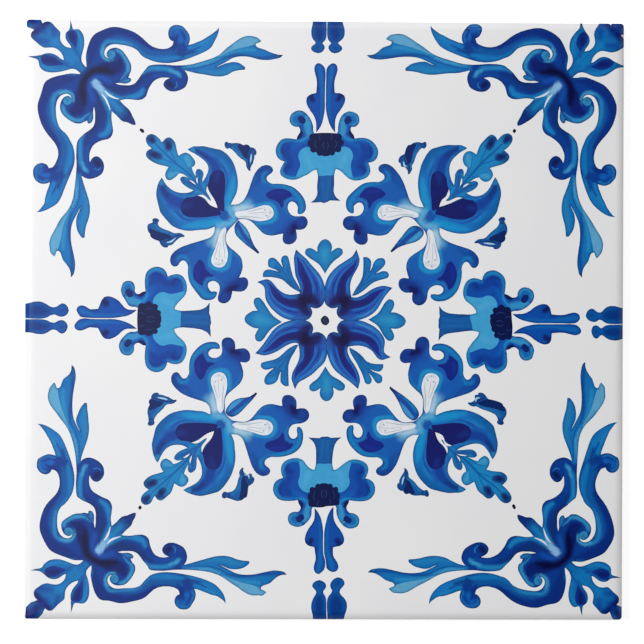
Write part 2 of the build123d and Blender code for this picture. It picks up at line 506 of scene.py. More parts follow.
stem_gap = closed_line([
    [(34.9, 34.1), (35.6, 34.35), (36.6, 34.9)],
    [(36, 34.95), (35.3, 34.7)],
])
flower_strokes = [
    ("114694", 1.6, 1, [(33.8, 18.2, 0.2), (35.6, 17, 0.6), (37.6, 16.2, 0.9), (38.2, 15, 0.8),
     (37.8, 14.2, 0.4)]),
    ("0F3C88", 0.9, 1, [(36.6, 17.2, 0.1), (38.1, 16.2, 0.3), (38.5, 15.2, 0.3), (38.1, 14.2, 0.2)]),
    ("1077B5", 0.6, 1, [(37.4, 14.9, 0.1), (36.9, 15.8, 0.3), (35.5, 15.9, 0.3), (34.9, 14.6, 0.35),
     (34.4, 13.2, 0.4), (34.1, 11, 0.45), (33.3, 8.6, 0.5), (31.9, 6.9, 0.5), (30.2, 6, 0.5),
     (28.4, 5.9, 0.45), (27.2, 6.2, 0.3)]),
    ("1A72B4", 0.7, 1, [(21, 12.5, 0.1), (20.9, 14, 0.2), (21.6, 15.6, 0.25), (23.2, 17, 0.4),
     (24.8, 18.3, 0.5)]),
    ("1B87BE", 0.6, 1, [(24.5, 17.5, 0.3), (24.2, 15.2, 0.5), (24.6, 13.5, 0.6), (25.8, 12.6, 0.6),
     (27.5, 12.5, 0.55), (28.9, 13.1, 0.5), (29.5, 14.5, 0.4), (29.3, 16.2, 0.4), (29, 18, 0.4)]),
    ("16449A", 2, 0.8, [(20.8, 12.2, 0.6), (22.2, 10.2, 1), (24.6, 8.8, 0.8)]),
    ("11247C", 0.35, 1, [(28.4, 10.5), (29.6, 11.4), (30.4, 12.8), (31, 14.5), (31.8, 15.1), (32.7, 14.3),
     (33.3, 12.9), (33.4, 10.9), (32.9, 9.3), (32.1, 8.2), (31.2, 7.9), (30.8, 8.5), (30.3, 9.5),
     (29.5, 10)]),
    ("182E90", 0.6, 0.8, [(32.3, 13.6, 0.2), (32.5, 12, 0.35), (32.2, 10.2, 0.3)]),
    ("1C6BB2", 0.4, 1, [(26.3, 6.6, 0.2), (26.5, 8, 0.3), (27.6, 9.3, 0.4), (28.9, 9.6, 0.4),
     (30.2, 9.3, 0.4), (30.85, 8.2, 0.35), (30.6, 7, 0.3)]),
    ("123583", 0.9, 1, [(23.8, 5.4, 1.7), (23.2, 7.6, 1.3), (22, 8.6, 1.4), (20.2, 9.1, 1.5)]),
    ("16408F", 0.8, 0.8, [(23.6, 5.2, 0.7), (24.3, 6.1, 0.4)]),
    ("10175A", 0.9, 1, [(22.9, 7.5, 0.9), (21.6, 8.4, 0.6)]),
    ("5C9FC6", 2.2, 1, [(29.6, 19.6, 0.9), (28.9, 21.3, 1.2), (28.2, 22.9, 1)]),
    ("A9C7D9", 1.6, 1, [(28.6, 18.6, 0.3), (28.5, 20.4, 0.5), (27.9, 22.3, 0.7)]),
    ("1468B2", 0.8, 1, [(27, 24), (29.2, 23.3), (31, 22.2), (34, 21.2), (40, 22.8), (45.3, 28),
     (45.6, 33.5), (43.4, 37.6), (42, 35.2), (40, 32.6), (36.5, 32.3), (33, 30.8), (29, 28.3),
     (27.3, 27.5)]),
    ("1688C2", 1.4, 1, [(25.2, 25, 1.4), (27.5, 24.9, 1), (30, 24.3, 1.1), (33.5, 23.6, 0.9),
     (36, 23.2, 0.4)]),
    ("0E5C9E", 1, 1, [(38, 23.8, 0.3), (40.5, 25.3, 0.7), (42.8, 28.2, 0.8), (43.9, 31.2, 0.5),
     (44, 33.4, 0.3)]),
    ("1D79BA", 0.6, 1, [(36, 25, 0.3), (38.6, 26, 0.4), (41, 27.9, 0.3)]),
    ("1755A4", 1.2, 0.9, [(39.2, 27.6, 0.7), (41.3, 29.1, 0.8)]),
    ("1A50A0", 0.35, 1, [(33, 25, 0.04), (35, 24.85, 0.17), (37, 25.5, 0.32), (38.4, 26.4, 0.36),
     (39.8, 27.4, 0.1)]),
    ("1A5DA9", 0.35, 1, [(31, 25.85, 0.05), (33, 25.4, 0.12), (35.2, 25.6, 0.12), (36.6, 26.2, 0.05)]),
    ("143F93", 0.9, 1, [(37.2, 28.9, 1.2), (39.2, 29.5, 1.2), (41, 30.7, 1.1), (42.4, 32.3, 0.9),
     (43.2, 34.2, 0.65), (43.2, 36, 0.3)]),
    ("10367A", 0.6, 1, [(41.8, 31.6, 0.5), (42.9, 33.2, 0.5), (43.3, 35.2, 0.3)]),
    ("151C63", 0.35, 1, [(27.9, 27.2), (29.3, 26.7), (31, 26.2), (34, 25.7), (36.3, 26), (37.9, 26.9),
     (38.6, 28.2), (38.2, 29.9), (37, 30.9), (35.3, 31.1), (33.2, 30.8), (31.3, 30.2), (29.6, 29.4),
     (28.3, 28.3)]),
    ("16307F", 1.8, 0.8, [(37.6, 28.6, 0.8), (36.4, 28.8, 0.5)]),
    ("1A6CB0", 0.35, 1, [(34.8, 31.2, 0.05), (36.5, 30.95, 0.22), (38.5, 31.15, 0.3), (40.2, 31.9, 0.28),
     (41.6, 33.3, 0.22), (42.5, 35.3, 0.1)]),
    ("164F9E", 0.35, 1, [(24.9, 24.1, 0.08), (26, 25.1, 0.5), (26.9, 26.1, 0.8), (27.6, 26.6, 0.5)]),
    ("1A7DB8", 0.5, 1, [(31, 30.4), (34.6, 31.25), (36, 32.3), (39.2, 32.9), (39.3, 35.6), (43, 34.6),
     (48.5, 40), (48.8, 48.8), (31, 31.3)]),
    ("3A93C4", 1, 1, [(39.4, 36.9, 0.5), (41.3, 36.7, 0.7)]),
    ("1A559F", 0.5, 1, [(31.8, 31.5, 0.1), (33.3, 32.5, 0.5), (35.2, 33.5, 0.6), (37, 34.2, 0.5),
     (38.1, 34.7, 0.5)]),
    ("13528F", 0.9, 0.8, [(43.6, 38.6, 0.1), (44.8, 39.6, 0.3), (46, 41, 0.3)]),
    ("0D5C9E", 0.3, 1, [(31, 31, 0.05), (33.5, 33.3, 0.14), (36, 35.8, 0.16), (40, 39.9, 0.18),
     (43.5, 43.4, 0.16), (45, 44.9, 0.08)]),
    ("1166A8", 0.3, 1, [(37, 36.3, 0.1), (39.4, 37.4, 0.12), (41.2, 37.9, 0.06)]),
    ("0F61A3", 0.3, 1, [(40, 39.6, 0.1), (42, 40.5, 0.14), (43.6, 41.1, 0.08)]),
    ("1C4F93", 0.3, 1, [(34.6, 33.3, 0.05), (36.2, 34, 0.12), (37.6, 34.4, 0.06)]),
    ("123878", 0.5, 1, [(44, 41.5, 1), (45.3, 41.8, 1)]),
    ("0C1B55", 0.7, 1, [(44.4, 41.6, 0.5), (44.9, 41.7, 0.5)]),
    ("123878", 0.5, 1, [(45.6, 45.6, 0.8), (46.4, 46.3, 1)]),
    ("0E2260", 0.8, 1, [(46, 45.9, 0.45), (46.3, 46.2, 0.45)]),
    ("D9DDE2", 0.35, 1, [(24.9, 15.8), (25, 14.5), (25.6, 13.5), (26.8, 13), (28, 13.2), (28.9, 14.1),
     (29.1, 15.4), (28.8, 16.9), (28.35, 18.4), (27.9, 20.2), (27.6, 21.6), (27, 22.9), (26.3, 23.3),
     (25.9, 22.6), (25.95, 21.2), (25.85, 19.8), (25.5, 18.2), (25.1, 17)]),
    ("5FA6CE", 1.8, 1, [(25, 24.2, 0.6), (26.4, 24, 0.7), (28, 23.8, 0.6)]),
    ("9AA9B8", 0.3, 0.9, [(25.7, 15.6, 0.06), (26.1, 17.5, 0.09), (26.5, 20, 0.1), (26.3, 22.4, 0.06)]),
    ("A6B3C0", 0.3, 0.8, [(27.1, 14.4, 0.06), (27.3, 16.5, 0.09), (27.2, 19.5, 0.06)]),
    ("93A5B6", 0.3, 0.8, [(28.5, 15.2, 0.07), (28.2, 17, 0.1), (27.6, 19.6, 0.07)]),
    ("AEBAC6", 0.5, 0.8, [(25.7, 14.6, 0.2), (26.6, 13.9, 0.2), (28, 14, 0.2)]),
    ("7C88A0", 0.3, 0.8, [(26.15, 14.8, 0.16), (26.4, 15.1, 0.16)]),
    ("7C88A0", 0.3, 0.8, [(27.8, 15.2, 0.15), (28, 15.5, 0.15)]),
    ("8996AA", 0.3, 0.7, [(27, 13.7, 0.13), (27.1, 13.9, 0.13)]),
]
small_leaf = closed_line([
    [(16.55, 17.6), (16.9, 17.25)],
    [(18.5, 18.4), (20.25, 19.1), (22, 19.6), (23.5, 20.25), (24.6, 21.25), (25.05, 22.1), (24.9, 22.9),
     (24.1, 23.75)],
    [(23.3, 24.05), (22.4, 23.95), (21.4, 23.4), (20.4, 22.4), (19.5, 21.25), (18.25, 19.75),
     (17.1, 18.3)],
])
small_leaf_strokes = [
    ("1B76B4", 0.7, 1, [(18.5, 19.6, 0.3), (20.3, 21.7, 0.6), (22.2, 23.2, 0.55)]),
    ("3C90C6", 0.7, 1, [(20.6, 19.6, 0.2), (22.5, 20.7, 0.7), (24, 22, 0.7)]),
    ("17489A", 0.35, 1, [(18.6, 18.9, 0.15), (20.6, 20.6, 0.5), (22.8, 22.4, 0.45), (24.3, 23.3, 0.15)]),
    ("12337C", 0.6, 1, [(16.9, 17.7, 0.6), (17.9, 18.5, 0.4)]),
]
bird = closed_line([
    [(37.9, 20), (38.5, 20.5), (39.2, 20.8), (40.2, 20.9), (41, 21.4), (41.8, 22.25), (42.8, 23.1),
     (43.7, 23.9), (44.1, 24.6), (44.25, 25.2)],
    [(44, 25.7), (44.2, 26.1), (44.8, 26.4), (45.5, 26.35), (45.8, 25.9), (45.55, 25.4)],
    [(45.8, 24.75), (46.2, 24), (46.3, 23.2), (46.1, 22.25), (45.7, 21.6)],
    [(45.8, 20.8), (45.5, 20.25), (44.8, 19.8)],
    [(44.7, 19.2), (44.25, 18.5), (43.5, 18.2), (42.9, 18.3), (42.7, 18.7)],
    [(41.8, 18.8), (40.8, 19), (40, 19.1), (39.2, 19.5), (38.5, 19.75), (38.1, 19.65)],
])
bird_strokes = [
    ("1C72B2", 0.6, 1, [(40, 20.3, 0.2), (42.6, 22.2, 0.4), (44.4, 24.3, 0.4)]),
    ("0B2560", 0.35, 1, [(41.6, 20.6), (43.2, 20.3), (44.6, 19.9), (45.6, 20.6), (46, 22), (45.7, 23),
     (44.6, 22.6), (43.4, 22), (42.3, 21.5)]),
    ("16458C", 0.5, 1, [(44.2, 19.2, 0.5), (43.3, 18.8, 0.4)]),
    ("0C2C68", 0.3, 1, [(38.5, 19.95, 0.08), (40.3, 20.25, 0.16), (42.2, 20.15, 0.18),
     (44.2, 19.6, 0.12)]),
    ("A9CBDF", 0.3, 1, [(40.4, 19.75, 0.1), (41.6, 19.65, 0.2), (43, 19.5, 0.1)]),
    ("123A80", 0.5, 1, [(45, 25.8, 0.45), (45.2, 25.8, 0.45)]),
    ("0D3474", 0.3, 1, [(44.4, 25, 0.1), (45.1, 24.8, 0.14), (45.6, 24.9, 0.1)]),
]
# Where the flowers' tips, lobes, wings and birds really lie in each quarter and its mirrored half.
flower_places = [
    (46.75, 41.5), (42.6, 37.2), (38.8, 35), (43.2, 36.55), (44.65, 32), (34.2, 22.1),
    (29, 23.6), (38.5, 13.65), (34.75, 12.3), (29.4, 4.9), (23.8, 3.85), (18.65, 9.3), (20.6, 13.4),
    (25.7, 20.5), (34.75, 31.2), (30.05, 7.7), (38, 19.8), (45.3, 26.2), (43.5, 18.2), (46.2, 23.2),
]
flower_moves = {
    (0, "diagonal"): [(0.6, 0.6), (0.4, -0.5), (-0.2, -0.4), (0.8, -0.6), (0, -1), (0, 1.4), (-0.2, 1.4),
        (0.7, 0), (0.4, 0), (0.4, 0.3), (0.8, 0.6), (0.5, 0), (0.9, 0), (0.5, 0), (-1.5, 0.2),
        (-0.2, 0.8), (-0.8, 1.2), (-0.3, -0.8), (-2.8, 0.3), (-1, 0)],
    (1, None): [(-0.6, -1.9), (-0.5, -1.5), (-0.6, -2.7), (0.1, -1.6), (-0.7, -1), (0, 0.1), (0.2, 0.4),
        (0.2, -0.1), (-0.2, 0), (-0.3, 0), (0.9, 0.6), (0.5, 0), (0.8, 0), (-0.3, 0), (-1, -1.2),
        (0, 0.6), (-0.2, -0.7), (-0.6, -0.8), (-1, -0.7), (-1.5, -0.7)],
    (1, "diagonal"): [(-1.2, 0.2), (-2.3, 0), (-2, 0.8), (-1.4, -0.9), (-1.8, -0.5), (-0.3, 0.4), (-1, 0),
        (0.2, 0), (0, 0), (0.6, 0), (1.8, 0.3), (0.8, 0), (0.3, 0), (-0.6, 0), (-2.5, 0.3), (-0.4, 0.9),
        (-2.3, 1.2), (-2, -0.8), (-3, 0), (-1.2, 0.1)],
    (2, None): [(-1, -0.1), (-1.2, -0.3), (-0.8, 0.2), (-0.8, -0.3), (-1, -0.5), (0, 0.8), (-0.1, 0.4),
        (-0.2, -0.1), (-0.4, 0), (-0.5, 0.7), (0.7, 0.6), (0.2, 0), (0, 0), (-0.6, 0.2), (-1.2, 0),
        (-0.6, 0.7), (-0.5, 0.6), (-1, 0.5), (-0.8, 0.3), (-1.5, 0)],
    (2, "diagonal"): [(-0.9, -0.2), (-0.5, -0.9), (0, -1), (0.2, -0.9), (0, -1), (0, 0.4), (0, 0),
        (0.5, 0.3), (0, 0), (0.4, 0.5), (0.2, 0), (0.3, 0), (0.7, 0), (0, 0), (-1.2, -0.2), (0, 0),
        (-0.5, 0.8), (-0.5, -0.5), (-3, -0.5), (-0.4, -1.5)],
    (3, None): [(-1.6, 0.2), (-1.3, -0.9), (-0.9, -0.4), (0, -0.3), (-0.9, -0.5), (-0.3, 0.4), (0, 0.4),
        (0.4, -0.3), (0, 0), (-0.5, 0.7), (0.5, 0.7), (0.2, 0), (0.6, 0), (0, 0), (-1.2, 0), (-0.3, 0.7),
        (-0.5, 0.6), (-1, 0.2), (-1.5, 0.3), (-1.9, 0)],
    (3, "diagonal"): [(-0.2, -1.7), (-0.8, -0.9), (0, -0.8), (-0.2, -1.6), (-0.6, -1), (-0.5, 0.4),
        (-0.8, 0.4), (0.5, 0), (0.5, 0), (0.2, 0.9), (1, 0.2), (0.4, 0), (0.6, 0), (-0.8, 0), (-2.5, 0.5),
        (0.2, 1), (-1.5, 1), (-0.2, 0), (-3.8, 0), (0, 0)],
}
# The same on the diagonals: leaf tip, bud tip, dot, heart, calyx and the tip of the small leaf.
diagonal_places = [
    (47.2, 47.2), (49, 49), (48, 48), (28.7, 28.7), (24, 24), (16.6, 17.4),
]
diagonal_moves = {
    (0, None): [(0, 0), (-0.3, 0.9), (0, 0.2), (0, 0), (0, 0), (0, 0)],
    (1, None): [(-0.8, -2.3), (0.5, -0.5), (-0.2, -1.5), (-0.6, -1.6), (0.4, -1.1), (0.2, -0.6)],
    (2, None): [(-1, -0.7), (-1.2, 0.2), (-1.7, -0.5), (-1, -0.7), (0.4, 0.6), (0.5, 1.1)],
    (3, None): [(-1.4, 0), (0.7, 0.2), (-1.2, 0.3), (-0.6, -0.8), (0.6, 0), (0.2, -0.9)],
}
flower_moves[0, None] = [(0, 0)] * len(flower_places)
flower_at, flower_by = wander(flower_places, flower_moves, slice(0, 16))
bird_drift = wander(flower_places, flower_moves, slice(16, 20))
diagonal_at, diagonal_by = wander(diagonal_places, diagonal_moves)
flower_drift = np.vstack([flower_at, diagonal_at]), np.vstack([flower_by, diagonal_by])
gaps = [bud_gap, stem_gap, stem_gap[:, ::-1]]
repeat([flower, *gaps], "1657A8", flower_strokes, flower_drift, each_quarter, fold="diagonal")
repeat([small_leaf], "174B98", small_leaf_strokes, flower_drift, each_quarter)
repeat([bird], "11569A", bird_strokes, bird_drift, both_halves)

# The fleuron on each axis: a stalked bloom with clouded shoulders between two curls, a pair of pointed bars
# and a pair of turned balusters that meet those of the next tile at the edge.
# The bloom fades from royal blue at its foot to a pale wash, with one dark garland round it.
above_and_below = [(turns, mirror) for turns in range(4) for mirror in (None, "axis")]
fleuron = axis_shape([
    [(28.8, 0), (28.75, 1)],
    [(29.05, 1.9)],
    [(28.95, 3.2), (28.9, 4.7)],
    [(29.75, 3.6), (31, 2.9), (32.75, 2.5), (35, 2.25), (37, 2.25), (38.35, 2.6)],
    [(38.2, 3.2), (37.6, 4.1), (36.5, 5.1), (35.5, 6.1), (35, 7.35), (35, 8.6), (35.4, 10), (36.25, 11.1),
     (37.25, 11.5), (38.5, 11.4), (39.4, 11.1), (39.9, 10.85)],
    [(40.1, 11.7), (40.75, 12.7), (42, 13.3), (43.25, 13.3), (44.5, 12.7), (45.5, 11.7), (46, 10.5),
     (46.05, 9.1), (45.85, 7.35)],
    [(46.5, 7.2), (47.1, 6.85), (47.7, 6.5), (48.5, 6.55), (49, 6.85)],
    [(49, 7.6), (49.4, 8.5), (50.1, 9.05), (51.1, 9.15), (52.1, 8.8), (52.9, 7.85), (53.2, 6.6),
     (52.75, 5.35), (51.75, 4.35), (50.5, 3.6), (49.25, 3.2), (48, 3.15)],
    [(47.4, 2.9)],
    [(47.5, 1.5), (47.55, 0)],
])
fleuron_strokes = [
    ("12569B", 0.35, 1, [(27, -3), (36.8, -3), (36.85, 0), (37.2, 1.5), (38.2, 2.6), (36, 3.2), (32, 3.6),
     (29.5, 5.2), (27, 6)]),
    ("1B62AA", 0.6, 0.7, [(29.6, 0.9, 0.2), (33, 0.8, 0.25), (36, 1, 0.15)]),
    ("0F4788", 0.6, 0.7, [(29.6, 2.2, 0.2), (32.5, 1.7, 0.2), (36, 1.7, 0.15)]),
    ("3C98C8", 0.35, 1, [(36.85, -2), (36.85, 0.2), (37.2, 1.5), (38.3, 2.5), (37.5, 3.6), (36, 4.8),
     (34.6, 6.4), (35.6, 7.1), (37.2, 6.8), (39, 6.5), (40, 6.6), (41.2, 7), (42.6, 6.7), (43.6, 5.7),
     (43.9, 4.6), (43.4, 3.6), (42.6, 2), (42.6, -2)]),
    ("4DA3CE", 1.6, 0.7, [(38.5, 3.6, 0.5), (40.5, 4.6, 0.6), (42.3, 5.2, 0.3)]),
    ("2288C0", 0.6, 1, [(35.3, 7, 0.5), (35.35, 8.7, 0.45), (36.1, 10.4, 0.4), (37.3, 11.1, 0.3),
     (38.8, 11, 0.3), (39.8, 10.6, 0.2)]),
    ("1A7AB6", 0.6, 1, [(40.3, 11.6, 0.35), (41.4, 12.5, 0.6), (43, 12.8, 0.6), (44.5, 12.1, 0.5),
     (45.4, 10.9, 0.4), (45.7, 9.3, 0.35), (45.6, 7.8, 0.3)]),
    ("0B3C92", 0.9, 1, [(38.2, 9, 0.9), (40.2, 9.2, 0.8), (42.6, 10.4, 0.9), (44, 9.6, 0.7)]),
    ("0A2F80", 0.5, 1, [(36.7, 9.6, 0.2), (37.5, 10.1, 0.35), (38.4, 9.8, 0.4), (38.6, 9, 0.25)]),
    ("082E82", 0.5, 1, [(41.2, 10.9, 0.15), (42.2, 11.6, 0.3), (43.4, 11.6, 0.3), (44.5, 10.9, 0.2)]),
    ("0C56AC", 0.8, 1, [(43.9, 8.3, 0.5), (44.8, 6.4, 0.6), (45.6, 4.8, 0.6), (46.8, 3.6, 0.5)]),
    ("3089BE", 0.6, 1, [(47.3, 4.2, 0.8), (48.6, 4.5, 0.9), (50.2, 4.6, 0.9), (51.4, 5, 0.6)]),
    ("1E86C0", 0.5, 1, [(45.5, 7.6, 0.2), (45.6, 6, 0.3), (46.4, 4.8, 0.3)]),
    ("0D63AA", 0.8, 1, [(50.9, 7.2, 1.7), (51.1, 7.2, 1.7)]),
    ("2F86BC", 0.5, 1, [(49.4, 7.3, 0.25), (50.2, 8.6, 0.3), (51.6, 8.6, 0.35), (52.7, 7.4, 0.35),
     (52.6, 5.8, 0.35)]),
    ("0B2468", 0.35, 1, [(50.6, 5.85, 0.85), (51, 6.3, 0.85)]),
    ("0A1C5A", 0.35, 1, [(46, 7, 0.3), (46.6, 6.7, 0.6), (47.4, 6.3, 0.5), (48, 6.2, 0.15)]),
    ("0A1545", 0.35, 1, [(41.8, -1), (41.65, 0), (42.2, 0.75), (41.75, 1.5), (42, 2.2), (42.7, 2.5),
     (42.5, 3.3), (43.1, 4), (43.9, 3.9), (44.4, 4.55), (45.3, 4.6), (45.9, 4), (46.6, 4.2), (47.3, 3.6),
     (47.2, 2.9), (47.7, 2.2), (47.4, 1.5), (47.7, 0.7), (47.6, -1)]),
    ("1F3568", 0.3, 0.9, [(43.4, 0.4, 0.12), (44.4, 0.7, 0.14), (45.2, 0.3, 0.1)]),
    ("1F3568", 0.3, 0.9, [(43.6, 2.4, 0.12), (44.6, 2.8, 0.14), (45.6, 2.5, 0.1)]),
    ("1F3568", 0.3, 0.9, [(45.8, 1.4, 0.1), (46.6, 1.7, 0.14), (47.2, 1.4, 0.08)]),
]
bar = closed_line([
    [(47.6, 2.4), (49, 2.4), (50.5, 2.5), (52, 3.1), (53.25, 4), (54.5, 4.7), (55.6, 4.95), (56.6, 4.7),
     (57.25, 3.85), (57.5, 2.85), (57.65, 2.35)],
    [(58.7, 2.27), (60, 2.2), (61, 2.3), (62.25, 2.6), (63.3, 2.75), (64.2, 2.5), (64.75, 1.9),
     (64.85, 1.3), (64.4, 0.6), (63.7, 0.2), (62.9, 0.1), (60, 0.1), (56, 0.12), (53.5, 0.15),
     (51.5, 0.5), (50, 0.9), (48.75, 1.5)],
])
bar_strokes = [
    ("0A60AC", 0.8, 1, [(50, 1, 0.2), (54, 0.8, 0.3), (58, 0.8, 0.4), (62, 1.3, 0.6), (64, 1.4, 0.5)]),
    ("083A88", 0.6, 1, [(57.6, 1.8, 0.3), (60, 1.9, 0.2), (62.5, 2.2, 0.15)]),
    ("0B2A6E", 0.6, 1, [(56.4, 4.4, 0.4), (57.1, 3.5, 0.3)]),
    ("0B1A5C", 0.8, 1, [(55.9, 3.3, 0.7), (56.5, 3.6, 0.5)]),
]
baluster = closed_line([
    [(66.3, 1.75), (66.5, 2.6), (67.15, 3.45), (67.9, 3.7), (68.5, 3.4), (69.1, 2.95), (69.75, 2.85),
     (70.5, 3.3), (71.2, 3.9), (72, 4.3), (73.1, 4.45), (74.1, 4.35), (75, 4.1), (77, 3.8)],
    [(77.5, 0.1)],
    [(76, 0.12), (73.9, 0.08), (72.7, 0.1), (71.6, 0.2), (70.8, 0.5), (70.2, 0.9), (69.4, 1),
     (68.9, 0.65), (68.3, 0.4), (67.5, 0.45), (66.7, 0.95)],
])
baluster_strokes = [
    ("02357E", 1.3, 1, [(70.6, 1.9, 0.3), (72, 2.2, 1.1), (74, 2.2, 1.3), (78, 2.2, 1.3)]),
    ("083F88", 0.8, 0.9, [(67.4, 2, 0.4), (68, 2, 0.4)]),
]
# Where the fleurons' feet, shoulders, curls, bars and balusters really lie, above and below each axis.
fleuron_places = [
    (28.9, 4.7), (38.35, 2.6), (35, 8), (42.6, 13.3), (45.85, 7.35), (51, 9.15),
    (53.2, 6.6), (47.6, 2), (55.6, 4.95), (64.85, 1.2), (66.3, 1.75), (73.5, 4.4), (73, -0.25),
    (56.5, 0.1),
]
fleuron_moves = {
    (0, None): [(0.1, -0.9), (0.1, -0.6), (0.1, -0.8), (0, -0.5), (-0.2, -0.5), (0, -0.6), (0, -0.3),
        (0, -0.6), (0, -0.6), (0, -0.5), (0, -0.4), (0, -0.5), (0, -0.6), (0, -0.6)],
    (0, "axis"): [(0, 0.4), (0.8, 0.3), (1, 0.9), (0.7, 0), (0.3, 0), (0.4, 0.9), (0, 0.8), (0.2, 0.8),
        (0.4, 1), (0, 0.9), (1.8, 0.7), (0.7, 0.4), (0.5, 0.9), (0, 0.7)],
    (1, None): [(0.9, -0.9), (-0.2, -0.3), (0.6, 0.3), (0.3, -0.7), (0, 0), (0, 0), (0, 0), (0, 0),
        (0, 0), (0, 0.3), (1.7, 0.2), (0, -0.7), (0.2, 0.6), (0, 0.2)],
    (1, "axis"): [(1.4, -0.8), (0, 0), (0.5, -0.2), (0, 0), (0.3, 0), (0, -0.6), (-0.2, -0.6), (0, 0),
        (0.4, 0), (0, 0.2), (1.7, 0.6), (0, 0.3), (0, 1), (0, 0)],
    (2, None): [(0, -0.3), (-0.2, -0.2), (0, -0.3), (0, 0), (-0.5, -0.7), (-0.9, 0), (-1.1, 0), (0, 0),
        (-0.8, 0.1), (-1.5, 0.4), (-1.2, 0), (-1.1, -0.6), (-0.6, 0.8), (0, -0.1)],
    (2, "axis"): [(0.3, -0.3), (-0.3, 0), (0, 0), (0, 0), (-0.4, -0.2), (-1.1, 0.6), (-1.6, 0.7), (0, 0),
        (-0.7, 0.9), (-2.2, 1.1), (-1.4, 0.2), (-0.4, 0), (-0.6, 0.8), (0, 0.2)],
    (3, None): [(0.8, -0.3), (-0.4, -0.2), (0.3, -0.3), (0.2, -0.4), (-0.2, -1), (0, -0.2), (-0.4, 0),
        (-0.4, 0), (0, 0.2), (-1, 0.8), (-1.2, 2), (-0.7, 1.5), (-1.3, 1.5), (0, 0)],
    (3, "axis"): [(0.9, -0.6), (-0.4, -0.1), (0, -0.7), (0.2, -0.4), (-0.2, -0.7), (-0.5, 0), (-0.8, 0),
        (0, 0), (0, -0.1), (-0.5, 0.2), (-0.4, -0.9), (-0.4, -1.3), (-0.6, 0), (0, 0.2)],
}
fleuron_drift = wander(fleuron_places, fleuron_moves)
repeat([fleuron], "0E49A0", fleuron_strokes, fleuron_drift, each_quarter, fold="axis")
repeat([bar], "0849A0", bar_strokes, fleuron_drift, above_and_below)
repeat([baluster], "0453A0", baluster_strokes, fleuron_drift, above_and_below)

